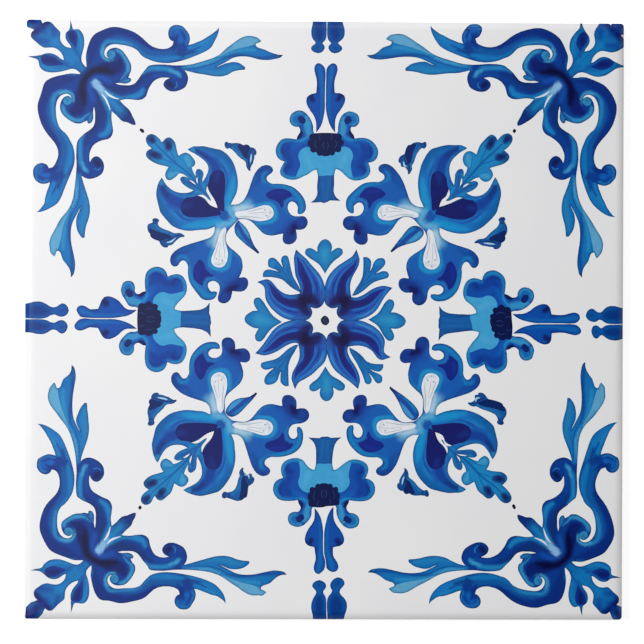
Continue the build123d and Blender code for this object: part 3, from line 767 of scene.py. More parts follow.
# The scroll in each corner: two long leaves that rise from a dark knot, curl over and end in finned tails,
# with a bud between them and a quarter of the palmette that four tiles make together.
# It is the darkest painting on the tile, navy in the folds and cyan along the lit edges.
scroll = diagonal_shape([
    [(78, 78)],
    [(78, 74.5)],
    [(76.5, 73.1), (75.9, 72.95), (75.1, 72.6)],
    [(75.6, 72.2), (76.2, 71.3), (76.3, 70.4), (75.85, 69.75), (75.2, 69.3), (74.4, 68.75), (73.5, 68.4),
     (72.4, 68.2), (71.3, 68.35), (70.2, 68.4), (69.4, 68.15), (68.6, 67.6), (67.9, 66.8), (67.5, 65.7)],
    [(68, 65.85), (68.6, 66.25), (69.4, 66.75), (70.3, 67.05), (71.3, 67.05), (72.1, 66.8), (73, 66.25),
     (74.1, 65.75), (75, 65.4), (77.5, 65.2)],
    [(75.9, 64.75), (75.2, 64.65), (74.1, 64.35), (73, 63.7), (72.1, 63.1), (71, 62.5), (69.9, 62.25),
     (68.8, 62.2), (67.7, 62.4), (66.6, 62.75), (65.3, 63), (64.25, 62.8), (63.5, 62.35), (62.9, 61.8)],
    [(64, 61.8), (65.1, 61.9), (66.2, 61.85), (67.3, 61.6), (68.6, 61.15), (69.9, 60.6), (71, 59.9),
     (72, 58.85), (72.9, 57.6), (73.6, 56.2), (74, 54.8), (74, 53.4), (73.7, 51.9), (73.2, 50.3),
     (72.3, 48.6), (71.2, 47.15), (70.1, 45.9), (69.2, 44.7), (68.6, 43.4), (68.3, 42.1), (68.3, 41),
     (68.6, 39.9), (69.2, 39), (70.2, 38.65)],
    [(70.6, 39.4), (71.4, 39.9), (72.3, 40), (73.25, 39.6), (73.9, 38.7), (74, 37.7), (73.8, 36.6),
     (73, 35.5), (72.1, 34.8), (71.1, 34.5), (70.1, 34.6), (69.3, 34.9)],
    [(69.6, 33.7), (70, 32.7), (70.5, 31.4), (71.2, 30), (71.7, 28.9), (72.4, 27.9), (73.25, 26.9),
     (73.8, 26.55)],
    [(72.8, 26.6), (71.8, 26.9), (70.5, 27.6), (69.3, 28.5), (68, 29.75), (67, 31.4), (66.3, 33.1),
     (65.65, 34.95), (65.1, 36.8), (64.75, 38.7), (64.65, 40.6), (64.75, 42), (65.1, 43.7), (65.7, 45.3),
     (66.4, 46.8), (67.3, 47.9), (68.3, 48.8), (68.9, 49.9), (69.25, 51.2), (69.4, 52.9), (69.35, 54.4),
     (69, 55.8), (68.4, 56.8), (67.5, 57.45), (66.6, 57.6), (65.8, 57.2), (65.45, 56.5)],
    [(66.1, 57.05), (66.9, 57), (67.6, 56.5), (68.15, 55.4), (68.35, 54), (68.1, 52.9), (67.3, 51.9),
     (66, 50.95), (64.7, 50.35), (63.6, 50.3), (62.3, 50.6), (61, 51.05)],
    [(60.9, 50.5), (60.5, 50.3), (59.9, 50.65), (59.55, 51.4), (59.5, 52.1), (59.65, 53.3),
     (59.55, 54.5)],
    [(59.2, 53.3), (59.1, 52), (59.1, 50.7), (59.55, 49.5), (60.7, 48.5), (62, 47.7), (63.1, 46.7),
     (63.9, 45.4), (64.2, 44), (64.3, 42.5), (64.3, 41), (64.2, 40), (64, 38.7), (63.8, 37.2),
     (63.8, 35.3), (64, 33.5), (64.3, 31.8), (64.9, 30), (65.75, 28.35), (66.8, 26.8), (68, 25),
     (68.8, 23.6), (69.7, 22.2), (70.35, 21), (70.7, 19.7), (70.6, 18.5), (70.2, 17.3), (69.6, 16.5),
     (69.1, 16)],
    [(68.75, 16.5), (68.5, 17.3)],
    [(68.2, 17.5), (67.7, 17.2), (67.25, 16.2), (66.9, 15.2), (66.25, 14.3), (65.7, 13.35), (65.4, 12.4),
     (65.35, 11.15)],
    [(64.7, 11.8), (64.3, 13.2), (64.1, 14.7), (64.15, 16), (64.4, 18), (64.7, 20), (64.8, 22),
     (64.7, 23.7), (64.45, 25), (64.05, 26.1), (63.35, 27.6), (62.35, 29.5)],
    [(62.8, 28.4), (63.3, 27.25), (63.5, 25.8), (63.35, 24.3), (63, 23.1), (62.4, 22.15), (61.7, 21.45),
     (61.2, 21.55)],
    [(61.1, 22.9), (60.85, 24.5), (60.4, 26.2), (60.1, 27.9), (60.1, 29.5), (60.4, 31.2), (61.1, 33.1),
     (61.7, 34.75), (62.3, 36.7)],
    [(61.4, 36.2), (60.3, 35.9), (59.1, 36.1), (57.9, 36.7), (57.1, 37.8), (56.7, 39.1), (56.8, 40.4),
     (57.4, 41.4), (58.5, 42), (59.5, 41.65), (60.1, 40.9), (60.4, 40.2)],
    [(60.65, 40.9), (60.75, 42), (60.4, 43.3), (59.8, 44.5), (58.6, 45.8), (57.3, 46.75), (56, 47.5),
     (55.35, 48.3), (55.05, 49.4), (55.15, 50.7), (55.4, 52.2), (55.4, 53.7)],
    [(54.3, 52.85), (53, 51.55), (51.8, 50.4), (50.7, 49.5), (49.9, 49.05), (49.3, 48.9), (48.95, 48.95)],
])
scroll_strokes = [
    ("0A5299", 1, 1, [(70.6, 56, 0.5), (71, 53, 0.6), (70.2, 50, 0.6), (68.7, 47.3, 0.7),
     (67.3, 44.5, 0.8), (67, 41, 0.9), (67.7, 38.5, 0.7)]),
    ("1E7BB8", 0.6, 1, [(66.7, 58.3, 0.15), (68.5, 57.9, 0.3), (69.8, 56.5, 0.45), (70.1, 54.6, 0.5),
     (70, 52.4, 0.55), (69.5, 50.4, 0.5), (68.6, 49, 0.45)]),
    ("0C6FB2", 0.7, 1, [(68.6, 49, 0.45), (67.4, 47.4, 0.45), (66.3, 45.6, 0.5), (65.7, 44, 0.7),
     (65.6, 42, 0.8), (65.8, 39.6, 0.75), (66.2, 37.2, 0.5)]),
    ("072A78", 0.9, 1, [(64, 61.2, 0.6), (67.5, 60.3, 0.9), (70.6, 58.5, 1), (72.5, 55.6, 0.9),
     (73, 53.2, 0.6), (72, 50, 0.45), (69.8, 46.8, 0.45), (68.3, 44.3, 0.3)]),
    ("0A5AAE", 0.8, 1, [(70.5, 36.8, 0.8), (72.3, 37.8, 0.8)]),
    ("1670B4", 0.5, 1, [(69.6, 35.4, 0.25), (71.3, 35.05, 0.25), (72.9, 36, 0.3), (73.5, 37.8, 0.3),
     (72.9, 39.1, 0.3), (71.8, 39.4, 0.25)]),
    ("082A7A", 0.6, 1, [(68, 38.9, 0.3), (69.3, 38.1, 0.3), (70.6, 38, 0.35), (71.6, 37.6, 0.3)]),
    ("0F70B4", 0.5, 1, [(64.9, 40), (65.3, 36.9), (67.2, 35.6), (69.3, 34.9), (70.5, 31.5), (74.6, 25.6),
     (71, 26.8), (67.5, 29.6), (65.4, 34)]),
    ("0A3A84", 0.7, 1, [(67, 37, 0.7), (67.3, 35, 0.6), (67.5, 33.4, 0.3)]),
    ("0C4C96", 0.3, 1, [(67.3, 35.8, 0.2), (68.3, 33, 0.22), (69.7, 30.6, 0.12)]),
    ("1A80BC", 0.6, 0.9, [(69.4, 31.6, 0.4), (71, 29.4, 0.3)]),
    ("081D66", 1.1, 1, [(63, 57.5, 1.4), (64.6, 55.9, 0.9), (63.4, 54.2, 1.5), (65.2, 53.2, 0.9)]),
    ("2A86BC", 0.5, 1, [(60.2, 53, 0.15), (61.2, 52.2, 0.3), (62.8, 51.3, 0.4), (64.5, 51.1, 0.45),
     (66.2, 51.8, 0.5), (67.4, 53, 0.5), (67.7, 54.3, 0.4)]),
    ("1F78B4", 0.4, 1, [(60.3, 51, 0.5), (60, 52.6, 0.3)]),
    ("0B3E84", 0.3, 1, [(60.25, 54, 0.06), (60.3, 52.9, 0.14), (61.3, 51.9, 0.14), (62.6, 51.1, 0.06)]),
    ("3C93C4", 0.5, 1, [(65.2, 55.4, 0.2), (65, 56.6, 0.3), (65.7, 57.7, 0.4), (67, 58.1, 0.4),
     (68.4, 57.6, 0.25)]),
    ("2A84B4", 0.35, 1, [(65.35, 56.3), (65.6, 55.3), (66.5, 54.8), (67.4, 55.2), (67.5, 56.1),
     (66.9, 56.9), (66, 57)]),
    ("16628F", 0.8, 0.9, [(66.3, 55.9, 0.3), (66.6, 56.2, 0.3)]),
    ("0B2F72", 1, 1, [(58.4, 57, 0.9), (57.9, 54, 1), (58.4, 51, 0.8), (59.5, 48.8, 0.6),
     (61.2, 46.8, 0.4), (61.9, 44.5, 0.3)]),
    ("1378B8", 0.7, 1, [(56.4, 55, 0.15), (55.9, 53, 0.3), (55.9, 50.6, 0.7), (56.6, 49, 0.65),
     (58, 47.7, 0.4)]),
    ("0A4596", 0.8, 1, [(61.2, 43.8, 0.4), (61.4, 41, 0.5), (60.8, 38.8, 0.4)]),
    ("1A7AB6", 0.6, 1, [(61.6, 48, 0.15), (62.9, 46.1, 0.4), (63.3, 44, 0.6), (63.3, 41.8, 0.6),
     (63, 39.5, 0.5)]),
    ("3590C4", 0.6, 1, [(60.8, 37.9, 0.3), (61.8, 38.5, 0.5), (62.6, 39.8, 0.3)]),
    ("0A3A88", 0.8, 1, [(57.7, 38.2, 0.5), (59.3, 37, 0.4)]),
    ("0A1A52", 0.8, 1, [(58.7, 40.6, 0.8), (58.1, 40, 0.7)]),
    ("2176B2", 0.3, 0.9, [(57.5, 39.2, 0.1), (58.2, 38.6, 0.14), (59.2, 38.8, 0.1)]),
    ("0F6BAF", 0.5, 1, [(62.3, 37), (64, 37.2), (64.2, 33), (65.5, 29), (71.6, 20), (69.5, 14.6),
     (65.3, 10), (62.6, 14), (59.2, 21), (59.4, 30), (61, 34.2)]),
    ("1C78B2", 0.9, 1, [(61.6, 33, 0.3), (60.9, 30.5, 0.6), (61.1, 28, 0.8), (61.7, 25, 0.8),
     (61.8, 23.2, 0.5)]),
    ("2281B8", 0.6, 1, [(64.4, 30.2, 0.2), (65.6, 27.3, 0.35), (66.5, 24, 0.45), (67, 20.5, 0.5),
     (66.9, 18, 0.45)]),
    ("0B4A94", 0.6, 1, [(64.8, 27.8, 0.15), (65.3, 24.5, 0.4), (65, 20.5, 0.5), (64.7, 16.5, 0.4),
     (65.1, 13, 0.35)]),
    ("5A9DC4", 0.35, 1, [(64.6, 31), (65.3, 29.2), (66.9, 26.7), (68.9, 23.5), (70.6, 20.2), (70.3, 18),
     (69.2, 15.6), (68.4, 17.2), (68, 19.3), (67.3, 22.6), (66.5, 25.3), (65.3, 28.3)]),
    ("3A86B8", 1, 0.8, [(66.4, 27.2, 0.3), (68.2, 24, 0.4)]),
    ("3F94C2", 0.4, 1, [(63.4, 36.2, 0.2), (63.4, 33.5, 0.3), (63.9, 31, 0.3), (64.8, 29, 0.2)]),
    ("0C4F96", 0.3, 1, [(62.7, 36.5, 0.1), (62.8, 32, 0.13), (63.5, 29.6, 0.14), (64.4, 28, 0.12),
     (65.4, 25, 0.05)]),
    ("0A2E6A", 0.6, 1, [(65.3, 12.6, 0.3), (65.35, 11.4, 0.3)]),
    ("0F4F8E", 0.5, 1, [(61.4, 22.1, 0.25), (61.3, 21.6, 0.2)]),
    ("0F4A80", 0.4, 1, [(68.5, 17.8, 0.15), (68.2, 17.4, 0.15)]),
    ("0966A8", 0.5, 1, [(62.3, 62.3), (63, 61.7), (66, 61.9), (70, 61.4), (78.8, 64), (78.8, 78.8)]),
    ("0E74B6", 1.6, 1, [(65.5, 64.6, 0.5), (68, 67.2, 0.4), (70, 69.6, 0.9)]),
    ("1378B8", 0.6, 1, [(65.5, 63.2, 0.3), (69, 62.9, 0.4), (72, 63.9, 0.3)]),
    ("0A4A9A", 0.7, 1, [(66.2, 64.6, 0.2), (68.4, 65, 0.4), (70, 66.6, 0.2)]),
    ("0A2E80", 0.35, 1, [(67.6, 64.6), (68.8, 65.5), (70.2, 66.4), (71.6, 66.6), (72.8, 66.3),
     (73.2, 65.5), (72.5, 64.7), (71.2, 64.1), (69.8, 63.9), (68.5, 64.2)]),
    ("081C64", 0.6, 1, [(69.4, 65.1, 0.4), (71, 65.4, 0.6), (72.2, 65.3, 0.3)]),
    ("0A4C98", 0.3, 1, [(63.2, 62.4, 0.05), (65.2, 63.3, 0.14), (67.6, 64.7, 0.1)]),
    ("0A4596", 1.6, 1, [(71.4, 69.8, 0.4), (73.6, 69.8, 0.8), (75.6, 69.4, 0.6)]),
    ("0A4598", 2, 1, [(72.4, 72.4, 0.5), (73.6, 73.6, 1.2)]),
    ("051C6C", 1.8, 1, [(74, 72.9, 1), (75.6, 71.6, 1.2)]),
    ("06206E", 2.4, 1, [(75.2, 74.9, 1.3), (77, 77, 2.4)]),
    ("1476B2", 1, 1, [(52, 52, 1.9), (54.4, 54.4, 1.9), (57, 57, 1.2)]),
    ("0E448C", 2, 1, [(49.6, 49.6, 1.8), (51.8, 51.8, 1.6)]),
    ("0C2F78", 0.9, 1, [(49.8, 49.4, 0.5), (51.6, 50.9, 0.7), (53.2, 52.3, 0.3)]),
    ("0E5599", 0.6, 1, [(52.6, 51.9, 0.2), (54.6, 53.6, 0.3), (56.2, 55.2, 0.15)]),
    ("0F48A0", 0.9, 1, [(60.6, 60.6, 0.5), (60.7, 58, 0.5), (59.9, 56, 0.5)]),
    ("7FAFD6", 0.45, 1, [(59.4, 59.4, 0.85), (58.6, 58.5, 0.75), (57.7, 57.4, 0.5), (57, 56.5, 0.2)]),
    ("5D9ACA", 0.4, 1, [(57.5, 57.2, 0.25), (57, 56.2, 0.2), (56.6, 55.4, 0.12)]),
    ("D3DBE4", 0.3, 1, [(55.75, 53.9, 0.06), (56.2, 54.9, 0.16), (56.8, 56, 0.2), (57.7, 57, 0.1)]),
    ("07093A", 1.5, 1, [(61.2, 61.2, 0.9), (62.1, 60, 0.95), (62.5, 58.3, 0.95), (62.4, 56.5, 0.9),
     (62.1, 55.2, 0.6)]),
]
bud_dot = smooth_run([
    (48.05, 47.55), (48.5, 48), (48.05, 48.5), (47.55, 48.05),
], closed=True)
# Where the scrolls' knots, folds, eyes, fins and tails really lie in each quarter and its mirrored half.
scroll_places = [
    (62.9, 61.8), (74, 54), (66.15, 57), (64.7, 50.35), (60.5, 50.3), (55.1, 49.5),
    (64.3, 42), (56.7, 39.1), (59.1, 36.1), (74, 38), (71.1, 34.5), (70.2, 38.65), (73.8, 26.55),
    (61.2, 21.5), (62.35, 29.5), (65.35, 11.15), (69.1, 16), (70.7, 19.7), (67.5, 65.7), (69.9, 62.25),
    (77.5, 65.2),
]
scroll_moves = {
    (0, "diagonal"): [(1.1, -0.6), (0.5, -0.2), (1.1, 0), (0.6, -0.4), (1.6, -0.2), (1.3, -1.4), (1, 0),
        (1.5, 0), (1.3, 0), (1.5, 0), (1.1, 0), (1.5, -0.7), (1.2, 0), (2.2, -1.3), (2.4, -1.8),
        (2, -0.8), (2.4, -0.8), (2.1, -0.9), (1.2, 0.1), (0.6, -0.3), (0, 0)],
    (1, None): [(1, -1.2), (0, -0.5), (0.6, -1.5), (-0.3, -1), (0.2, -1), (0.5, -2), (0.3, 0),
        (1.1, -0.9), (0.9, -1), (0.7, 0), (0.3, 0), (0.2, 0), (0.4, 0.6), (2.2, -1), (1.6, -1.6),
        (1.9, -0.3), (1.6, 0.4), (1.3, 0.2), (1.2, -1.2), (1, -1), (-1.7, -0.4)],
    (1, "diagonal"): [(-0.7, 0.2), (-1.1, -0.5), (-1.1, -0.6), (-1.4, -0.8), (-0.6, -0.8), (-1.2, -1.9),
        (-1.2, 0), (-0.6, -0.9), (-0.5, -0.4), (0, -0.7), (0.5, -0.3), (-0.2, -0.5), (-0.7, 0.5),
        (-0.3, -0.9), (-0.5, -1), (-1, -0.6), (-0.5, -0.2), (-0.9, -0.3), (-1.2, -0.2), (0.2, 0.2),
        (-1.9, 1.3)],
    (2, None): [(-1.8, -0.8), (-2.1, -1.7), (-1.9, -2.2), (-1.7, -1.1), (-1.3, -1.9), (-1.4, -1.9),
        (-1.5, 0), (-1, -0.9), (-0.5, -0.9), (-1.3, -1), (-1.3, -0.3), (-1.3, -0.6), (-1.2, 0),
        (-1.1, -0.3), (-0.5, -1), (-1.3, 0.4), (-0.7, 0), (-0.7, 0.2), (-2.2, -1.2), (-1.6, -1.5),
        (-3.3, -1.6)],
    (2, "diagonal"): [(-0.6, -3.2), (-2.2, -2.9), (-0.8, -2.9), (-1.1, -2.6), (-0.4, -2.1), (-0.6, -3.2),
        (-0.7, -0.5), (-0.2, -0.9), (-0.1, -1.3), (-0.6, -2.4), (-1.2, -2.1), (-0.7, -2.2), (-1.9, -1.7),
        (-0.1, -2.6), (-0.3, -3.1), (-0.8, -1.8), (-0.1, -1.5), (-0.9, -1.8), (-1.4, -3.7), (-0.3, -2.9),
        (-3.2, -1.3)],
    (3, None): [(-0.2, -0.6), (-1.2, -0.5), (-0.5, -1.5), (-1.5, -1), (-0.5, -0.5), (-0.5, -0.8),
        (-0.7, 0), (-0.5, 0), (0, -1), (-1, 0), (-0.8, 0), (-0.9, -0.2), (-1.8, 0.2), (-0.6, 0),
        (-0.4, -0.7), (-1.4, 0), (-1, 0.5), (-1.5, 0.2), (-0.4, 0), (0.4, 0), (-2.6, 0.5)],
    (3, "diagonal"): [(0.2, -0.8), (-0.2, -0.5), (-0.5, -1.5), (-0.7, -1.3), (0.2, -1), (0.3, -1.9),
        (0, 0), (0.6, -1.2), (0.7, -1.3), (1.1, -1.6), (1, -1), (1.3, -1.5), (0.8, -0.9), (0.5, -2),
        (0.4, -1.9), (0.9, -0.9), (1.2, -0.5), (0.7, -0.6), (0.6, -1), (0.5, -1.2), (-1.8, 0)],
}
scroll_moves[0, None] = [(0, 0)] * len(scroll_places)
scroll_at, scroll_by = wander(scroll_places, scroll_moves)
scroll_drift = np.vstack([scroll_at, diagonal_at]), np.vstack([scroll_by, diagonal_by])
repeat([scroll], "06388A", scroll_strokes, scroll_drift, each_quarter, fold="diagonal")
repeat([bud_dot], "10122E", [], scroll_drift, each_quarter)

# The glazed face: the blank is dipped face down in white tin glaze, painted while the glaze is raw powder,
# and fired again, so that the cobalt sinks in and lies under one gloss. The face is flat, rolls over at its
# rim in a soft cushion, and a small arris turns it into the flank.
low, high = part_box("tile")
side = (high.x - low.x) / mm
thickness = (high.z - low.z) / mm
corner_radius = 0.9
corner_softening = 0.6
cushion_width = 2.2
cushion_slope = math.radians(40)
arris_radius = 0.35
bevel_height = 1.5
ring_spacing = 1.2
bend_points = 7
halvings = 24
ground_grid = 2.6
ground_setback = 0.6
ground_clearance = 0.7
arris_width = arris_radius * (1 - math.sin(cushion_slope))
arris_drop = arris_radius * math.cos(cushion_slope)
cushion_radius = (cushion_width - arris_width) / math.sin(cushion_slope)
land_top = thickness - cushion_radius * (1 - math.cos(cushion_slope)) - arris_drop


def beyond(points, inset):
    """How far points lie outside the rounded square that is drawn in by inset."""
    radius = corner_radius + corner_softening * inset
    past = np.abs(points) - np.reshape(side / 2 - inset - radius, (-1, 1))
    return np.hypot(*np.maximum(past, 0).T) + np.minimum(past.max(1), 0) - radius


def rolled_height(points):
    """The face's height: flat, then down the cushion's arc and round the arris to the flank."""
    near, far = np.zeros(len(points)), np.full(len(points), cushion_width)
    for _ in range(halvings):
        middle = (near + far) / 2
        outside = beyond(points, middle) > 0
        near, far = np.where(outside, near, middle), np.where(outside, middle, far)
    inset = np.where(beyond(points, cushion_width) <= 0, cushion_width, near)
    across = np.clip((cushion_width - inset) / cushion_radius, 0, 1)
    cushion = thickness - cushion_radius * (1 - np.sqrt(1 - across**2))
    lean = np.clip(1 - inset / arris_radius, 0, 1)
    return np.where(inset < arris_width, land_top + arris_radius * np.sqrt(1 - lean**2), cushion)


def ring(inset):
    """One level of the rolled edge as a closed line of points."""
    radius = corner_radius + corner_softening * inset
    reach_out = side / 2 - inset
    straight = np.linspace(radius - reach_out, reach_out - radius, round(side / ring_spacing))
    bend = np.linspace(0, math.pi / 2, bend_points)[1:-1]
    edge = np.stack([np.full_like(straight, reach_out), straight], 1)
    corner = reach_out - radius + radius * np.stack([np.cos(bend), np.sin(bend)], 1)
    return np.vstack([turned(np.vstack([edge, corner]), turns) for turns in range(4)])


# Paint ends sharply, so its outlines have to be edges of the mesh, and many of them cross each other.
# Blender's constrained triangulation cuts the face along all of them at once.
edge_levels = [0, arris_width * 0.45, arris_width, 0.5, 0.95, 1.4, 1.8, cushion_width]
rings = [ring(inset) for inset in edge_levels]
ground = staggered_grid((-side / 2, -side / 2), (side / 2, side / 2), ground_grid)
ground = ground[beyond(ground, cushion_width) < -ground_setback]
for shape in painted:
    outline = shape["points"][:sum(shape["outlines"])]
    near = ((ground > outline.min(0) - 1) & (ground < outline.max(0) + 1)).all(1)
    gap = np.hypot(*(ground[near][:, None] - outline[None]).transpose(2, 0, 1)).min(1)
    crowded = np.zeros(len(ground), bool)
    crowded[near] = (gap < ground_clearance) | inside(ground[near], outline[:shape["outlines"][0]])
    ground = ground[~crowded]
sets = [*rings, ground, *(shape["points"] for shape in painted)]
starts = [int(start) for start in np.cumsum([0, *map(len, sets)])]
edges, loops, loop_shape = [], [], []
for start, level in zip(starts, rings):
    edges += [(start + i, start + (i + 1) % len(level)) for i in range(len(level))]
for index, shape in enumerate(painted):
    start = shape["start"] = starts[len(rings) + 1 + index]
    for length in shape["outlines"]:
        x, y = shape["points"][start - shape["start"]:][:length].T
        clockwise = x @ np.roll(y, -1) < y @ np.roll(x, -1)
        loop = list(range(start, start + length))
        loops.append(loop[::-1] if clockwise else loop)
        loop_shape.append(index)
        start += length
    for length in shape["rims"]:
        edges += [(start + i, start + (i + 1) % length) for i in range(length)]
        start += length
flat, _, triangles, came_from, _, lies_in = delaunay_2d_cdt(
    [tuple(p) for p in np.vstack(sets)], edges, loops, 0, 1e-4)
flat = np.array([tuple(p) for p in flat])
triangles = np.array([tuple(t) for t in triangles])
on_tile = beyond(flat[triangles].mean(1), 0) < 0
triangles = triangles[on_tile]
lies_in = [lies_in[i] for i in np.flatnonzero(on_tile)]

# The last shape painted lies on top. An odd number of its outlines round a triangle means paint, and an
# even number a gap that shows the glaze. Each corner is shaded as its own shape's nearest point, stroke by
# stroke, and a crisp stroke covers the whole triangle or none of it.
top = np.full(len(triangles), -1)
for t, loops_round in enumerate(lies_in):
    count = {}
    for loop in loops_round:
        count[loop_shape[loop]] = count.get(loop_shape[loop], 0) + 1
    top[t] = max([index for index, times in count.items() if times % 2], default=-1)
source = np.array([sources[0] if sources else -1 for sources in came_from])
paint = np.ones((len(triangles), 3, 4))
paint[..., 3] = 0
for index, shape in enumerate(painted):
    covered = np.flatnonzero(top == index)
    corners = triangles[covered]
    own = source[corners] - shape["start"]
    for corner in zip(*np.nonzero((own < 0) | (own >= len(shape["points"])))):
        own[corner] = np.argmin(((shape["points"] - flat[corners[corner]]) ** 2).sum(1))
    middles = flat[corners].mean(1)
    colour = np.tile(shape["wash"], (*own.shape, 1))
    for stroke_colour, strength, cover, crisp_lines in shape["layers"]:
        amount = cover[own]
        if crisp_lines:
            away = np.min([past_edge(middles, line) for line in crisp_lines], 0)
            amount = strength * (away < 0)[:, None]
        colour += amount[..., None] * (stroke_colour - colour)
    paint[covered, :, :3] = colour * (1 - shape["ink"][own][..., None] * ink_taken)
    paint[covered, :, 3] = 1

verts = np.column_stack([flat, rolled_height(flat)]) * mm
face_mesh = bpy.data.meshes.new("painted_face")
face_mesh.from_pydata(verts.tolist(), [], triangles.tolist())
attribute = face_mesh.attributes.new("paint", "FLOAT_COLOR", "CORNER")
attribute.data.foreach_set("color", paint.ravel())

# The flank and the back are bare biscuit. The dip runs a few millimetres down the flank and stops in a
# wavy line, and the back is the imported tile's own: a bevel, a plain rim and a waffle of shallow pockets.
tile = bmesh.new()
tile.from_mesh(face_mesh)
glaze_foot = 3.1
glaze_run = 0.5
foot_band = 0.25
flank_end = bevel_height + 0.35
back_end = bevel_height + 0.1
weld_distance = 1e-6
crease_angle = math.radians(28)
flank_rows = 3
loose = [v for v in tile.verts if not v.link_faces]
bmesh.ops.delete(tile, geom=loose, context="VERTS")
rim = [e for e in tile.edges if e.is_boundary]


def wave(x, y):
    """A slow irregular wave along the flank, between -1 and 1."""
    along = (x - y) / mm
    return (math.sin(along * 0.21 + 1) + math.sin(along * 0.57 + y * 90) + math.sin(along * 1.37 + 2)) / 3


for row in range(flank_rows):
    fresh = bmesh.ops.extrude_edge_only(tile, edges=rim)["geom"]
    rim = [e for e in fresh if isinstance(e, bmesh.types.BMEdge) and e.is_boundary]
    for v in {v for e in rim for v in e.verts}:
        if row == 0:
            v.co.z = (glaze_foot + foot_band + glaze_run * wave(v.co.x, v.co.y)) * mm
        elif row == 1:
            v.co.z -= foot_band * mm
        else:
            v.co.z = flank_end * mm
    for f in {f for e in rim for f in e.link_faces}:
        f.material_index = 1 if row == 2 else 0
back = bmesh.new()
back.from_mesh(bpy.data.objects["tile"].data)
bmesh.ops.remove_doubles(back, verts=back.verts, dist=weld_distance)
above = [v for v in back.verts if v.co.z > back_end * mm]
bmesh.ops.delete(back, geom=above, context="VERTS")
for f in back.faces:
    f.material_index = 1
back_mesh = bpy.data.meshes.new("keyed_back")
back.to_mesh(back_mesh)
back.free()
tile.from_mesh(back_mesh)
open_edges = [e for e in tile.edges if e.is_boundary]
bridged = bmesh.ops.bridge_loops(tile, edges=open_edges)["faces"]
for f in bridged:
    f.material_index = 1
bmesh.ops.recalc_face_normals(tile, faces=tile.faces)
bmesh.ops.triangulate(tile, faces=[f for f in tile.faces if len(f.verts) > 3])
for f in tile.faces:
    f.smooth = True
for e in tile.edges:
    if len(e.link_faces) == 2 and e.calc_face_angle() > crease_angle:
        e.smooth = False

# The map for baking gives the face three quarters of the sheet's side, the back the far corner, and each
# flank a strip above the face.
sheet_map = tile.loops.layers.uv.new("OFBake")
face_share = 0.76
back_share = 0.22
first_strip = 0.775
strip_pitch = 0.05
sheet_margin = 0.002
faces_up = 0.5
faces_down = -0.25
above_flank = bevel_height + 1
below_flank = bevel_height - 0.6
for f in tile.faces:
    normal = f.normal
    for corner in f.loops:
        x, y, z = (c / mm for c in corner.vert.co)
        if normal.z > faces_up and z > above_flank:
            u, v = (x / side + 0.5) * face_share, (y / side + 0.5) * face_share
        elif normal.z < faces_down or z < below_flank:
            u, v = 1 - (x / side + 0.5) * back_share, 1 - (0.5 - y / side) * back_share
        else:
            strip = round(math.atan2(normal.y, normal.x) / (math.pi / 2)) % 4
            along = (y, -x, -y, x)[strip]
            u = (along / side + 0.5) * face_share
            v = first_strip + strip_pitch * strip + z / side * face_share
        corner[sheet_map].uv = (u + sheet_margin, v + sheet_margin)

tile_mesh = bpy.data.meshes.new("painted_tile")
tile.to_mesh(tile_mesh)
tile.free()
bpy.data.meshes.remove(face_mesh)
bpy.data.meshes.remove(back_mesh)
painted_tile = bpy.data.objects.new("painted_tile", tile_mesh)
scene.collection.objects.link(painted_tile)

# Tin-glazed earthenware with cobalt: an opaque white lead-tin glaze under which the paint has sunk, so both
# share one soft gloss. The eye sees a milky ground with faint clouds, and blue that pools and thins.
glaze = bpy.data.materials.new("tin_glaze_with_cobalt")
glaze.use_nodes = True
tree = glaze.node_tree
tree.nodes.clear()
cloud_size = 22 * mm
pool_size = 1.6 * mm
ripple_size = 7 * mm
ripple_height = 0.1 * mm
glaze_roughness = 0.17
glaze_ior = 1.5
place = add_node(tree, "ShaderNodeTexCoord").outputs["Object"]
drawn = add_node(tree, "ShaderNodeAttribute", attribute_name="paint")
cloud = add_node(tree, "ShaderNodeTexNoise", {"Vector": place, "Scale": 1 / cloud_size, "Detail": 3.0})
milk = add_node(tree, "ShaderNodeMix", {"Factor": cloud.outputs[0], 6: (*linear("DFDFE2"), 1),
                                        7: (*linear("E6E6E6"), 1)}, data_type="RGBA")
pool = add_node(tree, "ShaderNodeTexNoise", {"Vector": place, "Scale": 1 / pool_size, "Detail": 4.0,
                                             "Roughness": 0.6})
thin = add_node(tree, "ShaderNodeMapRange", {"Value": pool.outputs[0], "From Min": 0.3, "From Max": 0.7,
                                             "To Min": 0.95, "To Max": 1.05})
worked = add_node(tree, "ShaderNodeVectorMath", {0: drawn.outputs["Color"], "Scale": thin.outputs[0]},
                  operation="SCALE")
glazed = add_node(tree, "ShaderNodeMix", {"Factor": drawn.outputs["Alpha"], 6: milk.outputs[2],
                                          7: worked.outputs[0]}, data_type="RGBA")
ripple = add_node(tree, "ShaderNodeTexNoise", {"Vector": place, "Scale": 1 / ripple_size, "Detail": 2.0})
wavy = {"Height": ripple.outputs[0], "Strength": 0.12, "Distance": ripple_height}
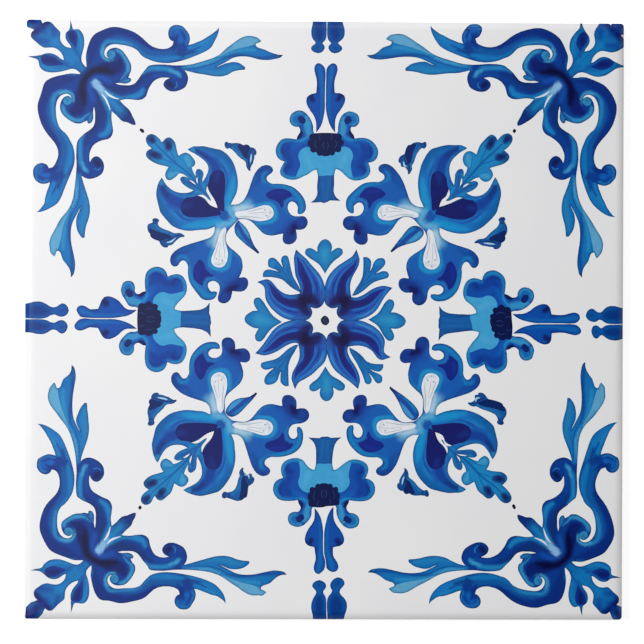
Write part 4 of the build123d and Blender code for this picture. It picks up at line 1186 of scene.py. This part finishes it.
bump = add_node(tree, "ShaderNodeBump", wavy)
gloss = {"Base Color": glazed.outputs[2], "Roughness": glaze_roughness, "IOR": glaze_ior,
         "Normal": bump.outputs[0]}
surface = add_node(tree, "ShaderNodeBsdfPrincipled", gloss)
add_node(tree, "ShaderNodeOutputMaterial", {"Surface": surface.outputs[0]})
tile_mesh.materials.append(glaze)

# Biscuit-fired earthenware, pressed from dust: pale cream, dry and matt, with a fine sandy grain from the
# die and small dark specks of grog.
biscuit = bpy.data.materials.new("pressed_earthenware_biscuit")
biscuit.use_nodes = True
tree = biscuit.node_tree
tree.nodes.clear()
patch_size = 14 * mm
grain_size = 0.5 * mm
grain_height = 0.05 * mm
biscuit_roughness = 0.85
biscuit_ior = 1.5
place = add_node(tree, "ShaderNodeTexCoord").outputs["Object"]
patchy = add_node(tree, "ShaderNodeTexNoise", {"Vector": place, "Scale": 1 / patch_size, "Detail": 4.0})
clay = add_node(tree, "ShaderNodeMix", {"Factor": patchy.outputs[0], 6: (*linear("D9CDBB"), 1),
                                        7: (*linear("E6DDCE"), 1)}, data_type="RGBA")
grain = add_node(tree, "ShaderNodeTexNoise", {"Vector": place, "Scale": 1 / grain_size, "Detail": 3.0})
speck = add_node(tree, "ShaderNodeMapRange", {"Value": grain.outputs[0], "From Min": 0.66, "From Max": 0.72,
                                              "To Min": 0.0, "To Max": 0.45})
dusted = add_node(tree, "ShaderNodeMix", {"Factor": speck.outputs[0], 6: clay.outputs[2],
                                          7: (*linear("A58F74"), 1)}, data_type="RGBA")
sandy = {"Height": grain.outputs[0], "Strength": 0.5, "Distance": grain_height}
bump = add_node(tree, "ShaderNodeBump", sandy)
dry = {"Base Color": dusted.outputs[2], "Roughness": biscuit_roughness, "IOR": biscuit_ior,
       "Normal": bump.outputs[0]}
surface = add_node(tree, "ShaderNodeBsdfPrincipled", dry)
add_node(tree, "ShaderNodeOutputMaterial", {"Surface": surface.outputs[0]})
tile_mesh.materials.append(biscuit)

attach(painted_tile, "root")
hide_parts("tile")
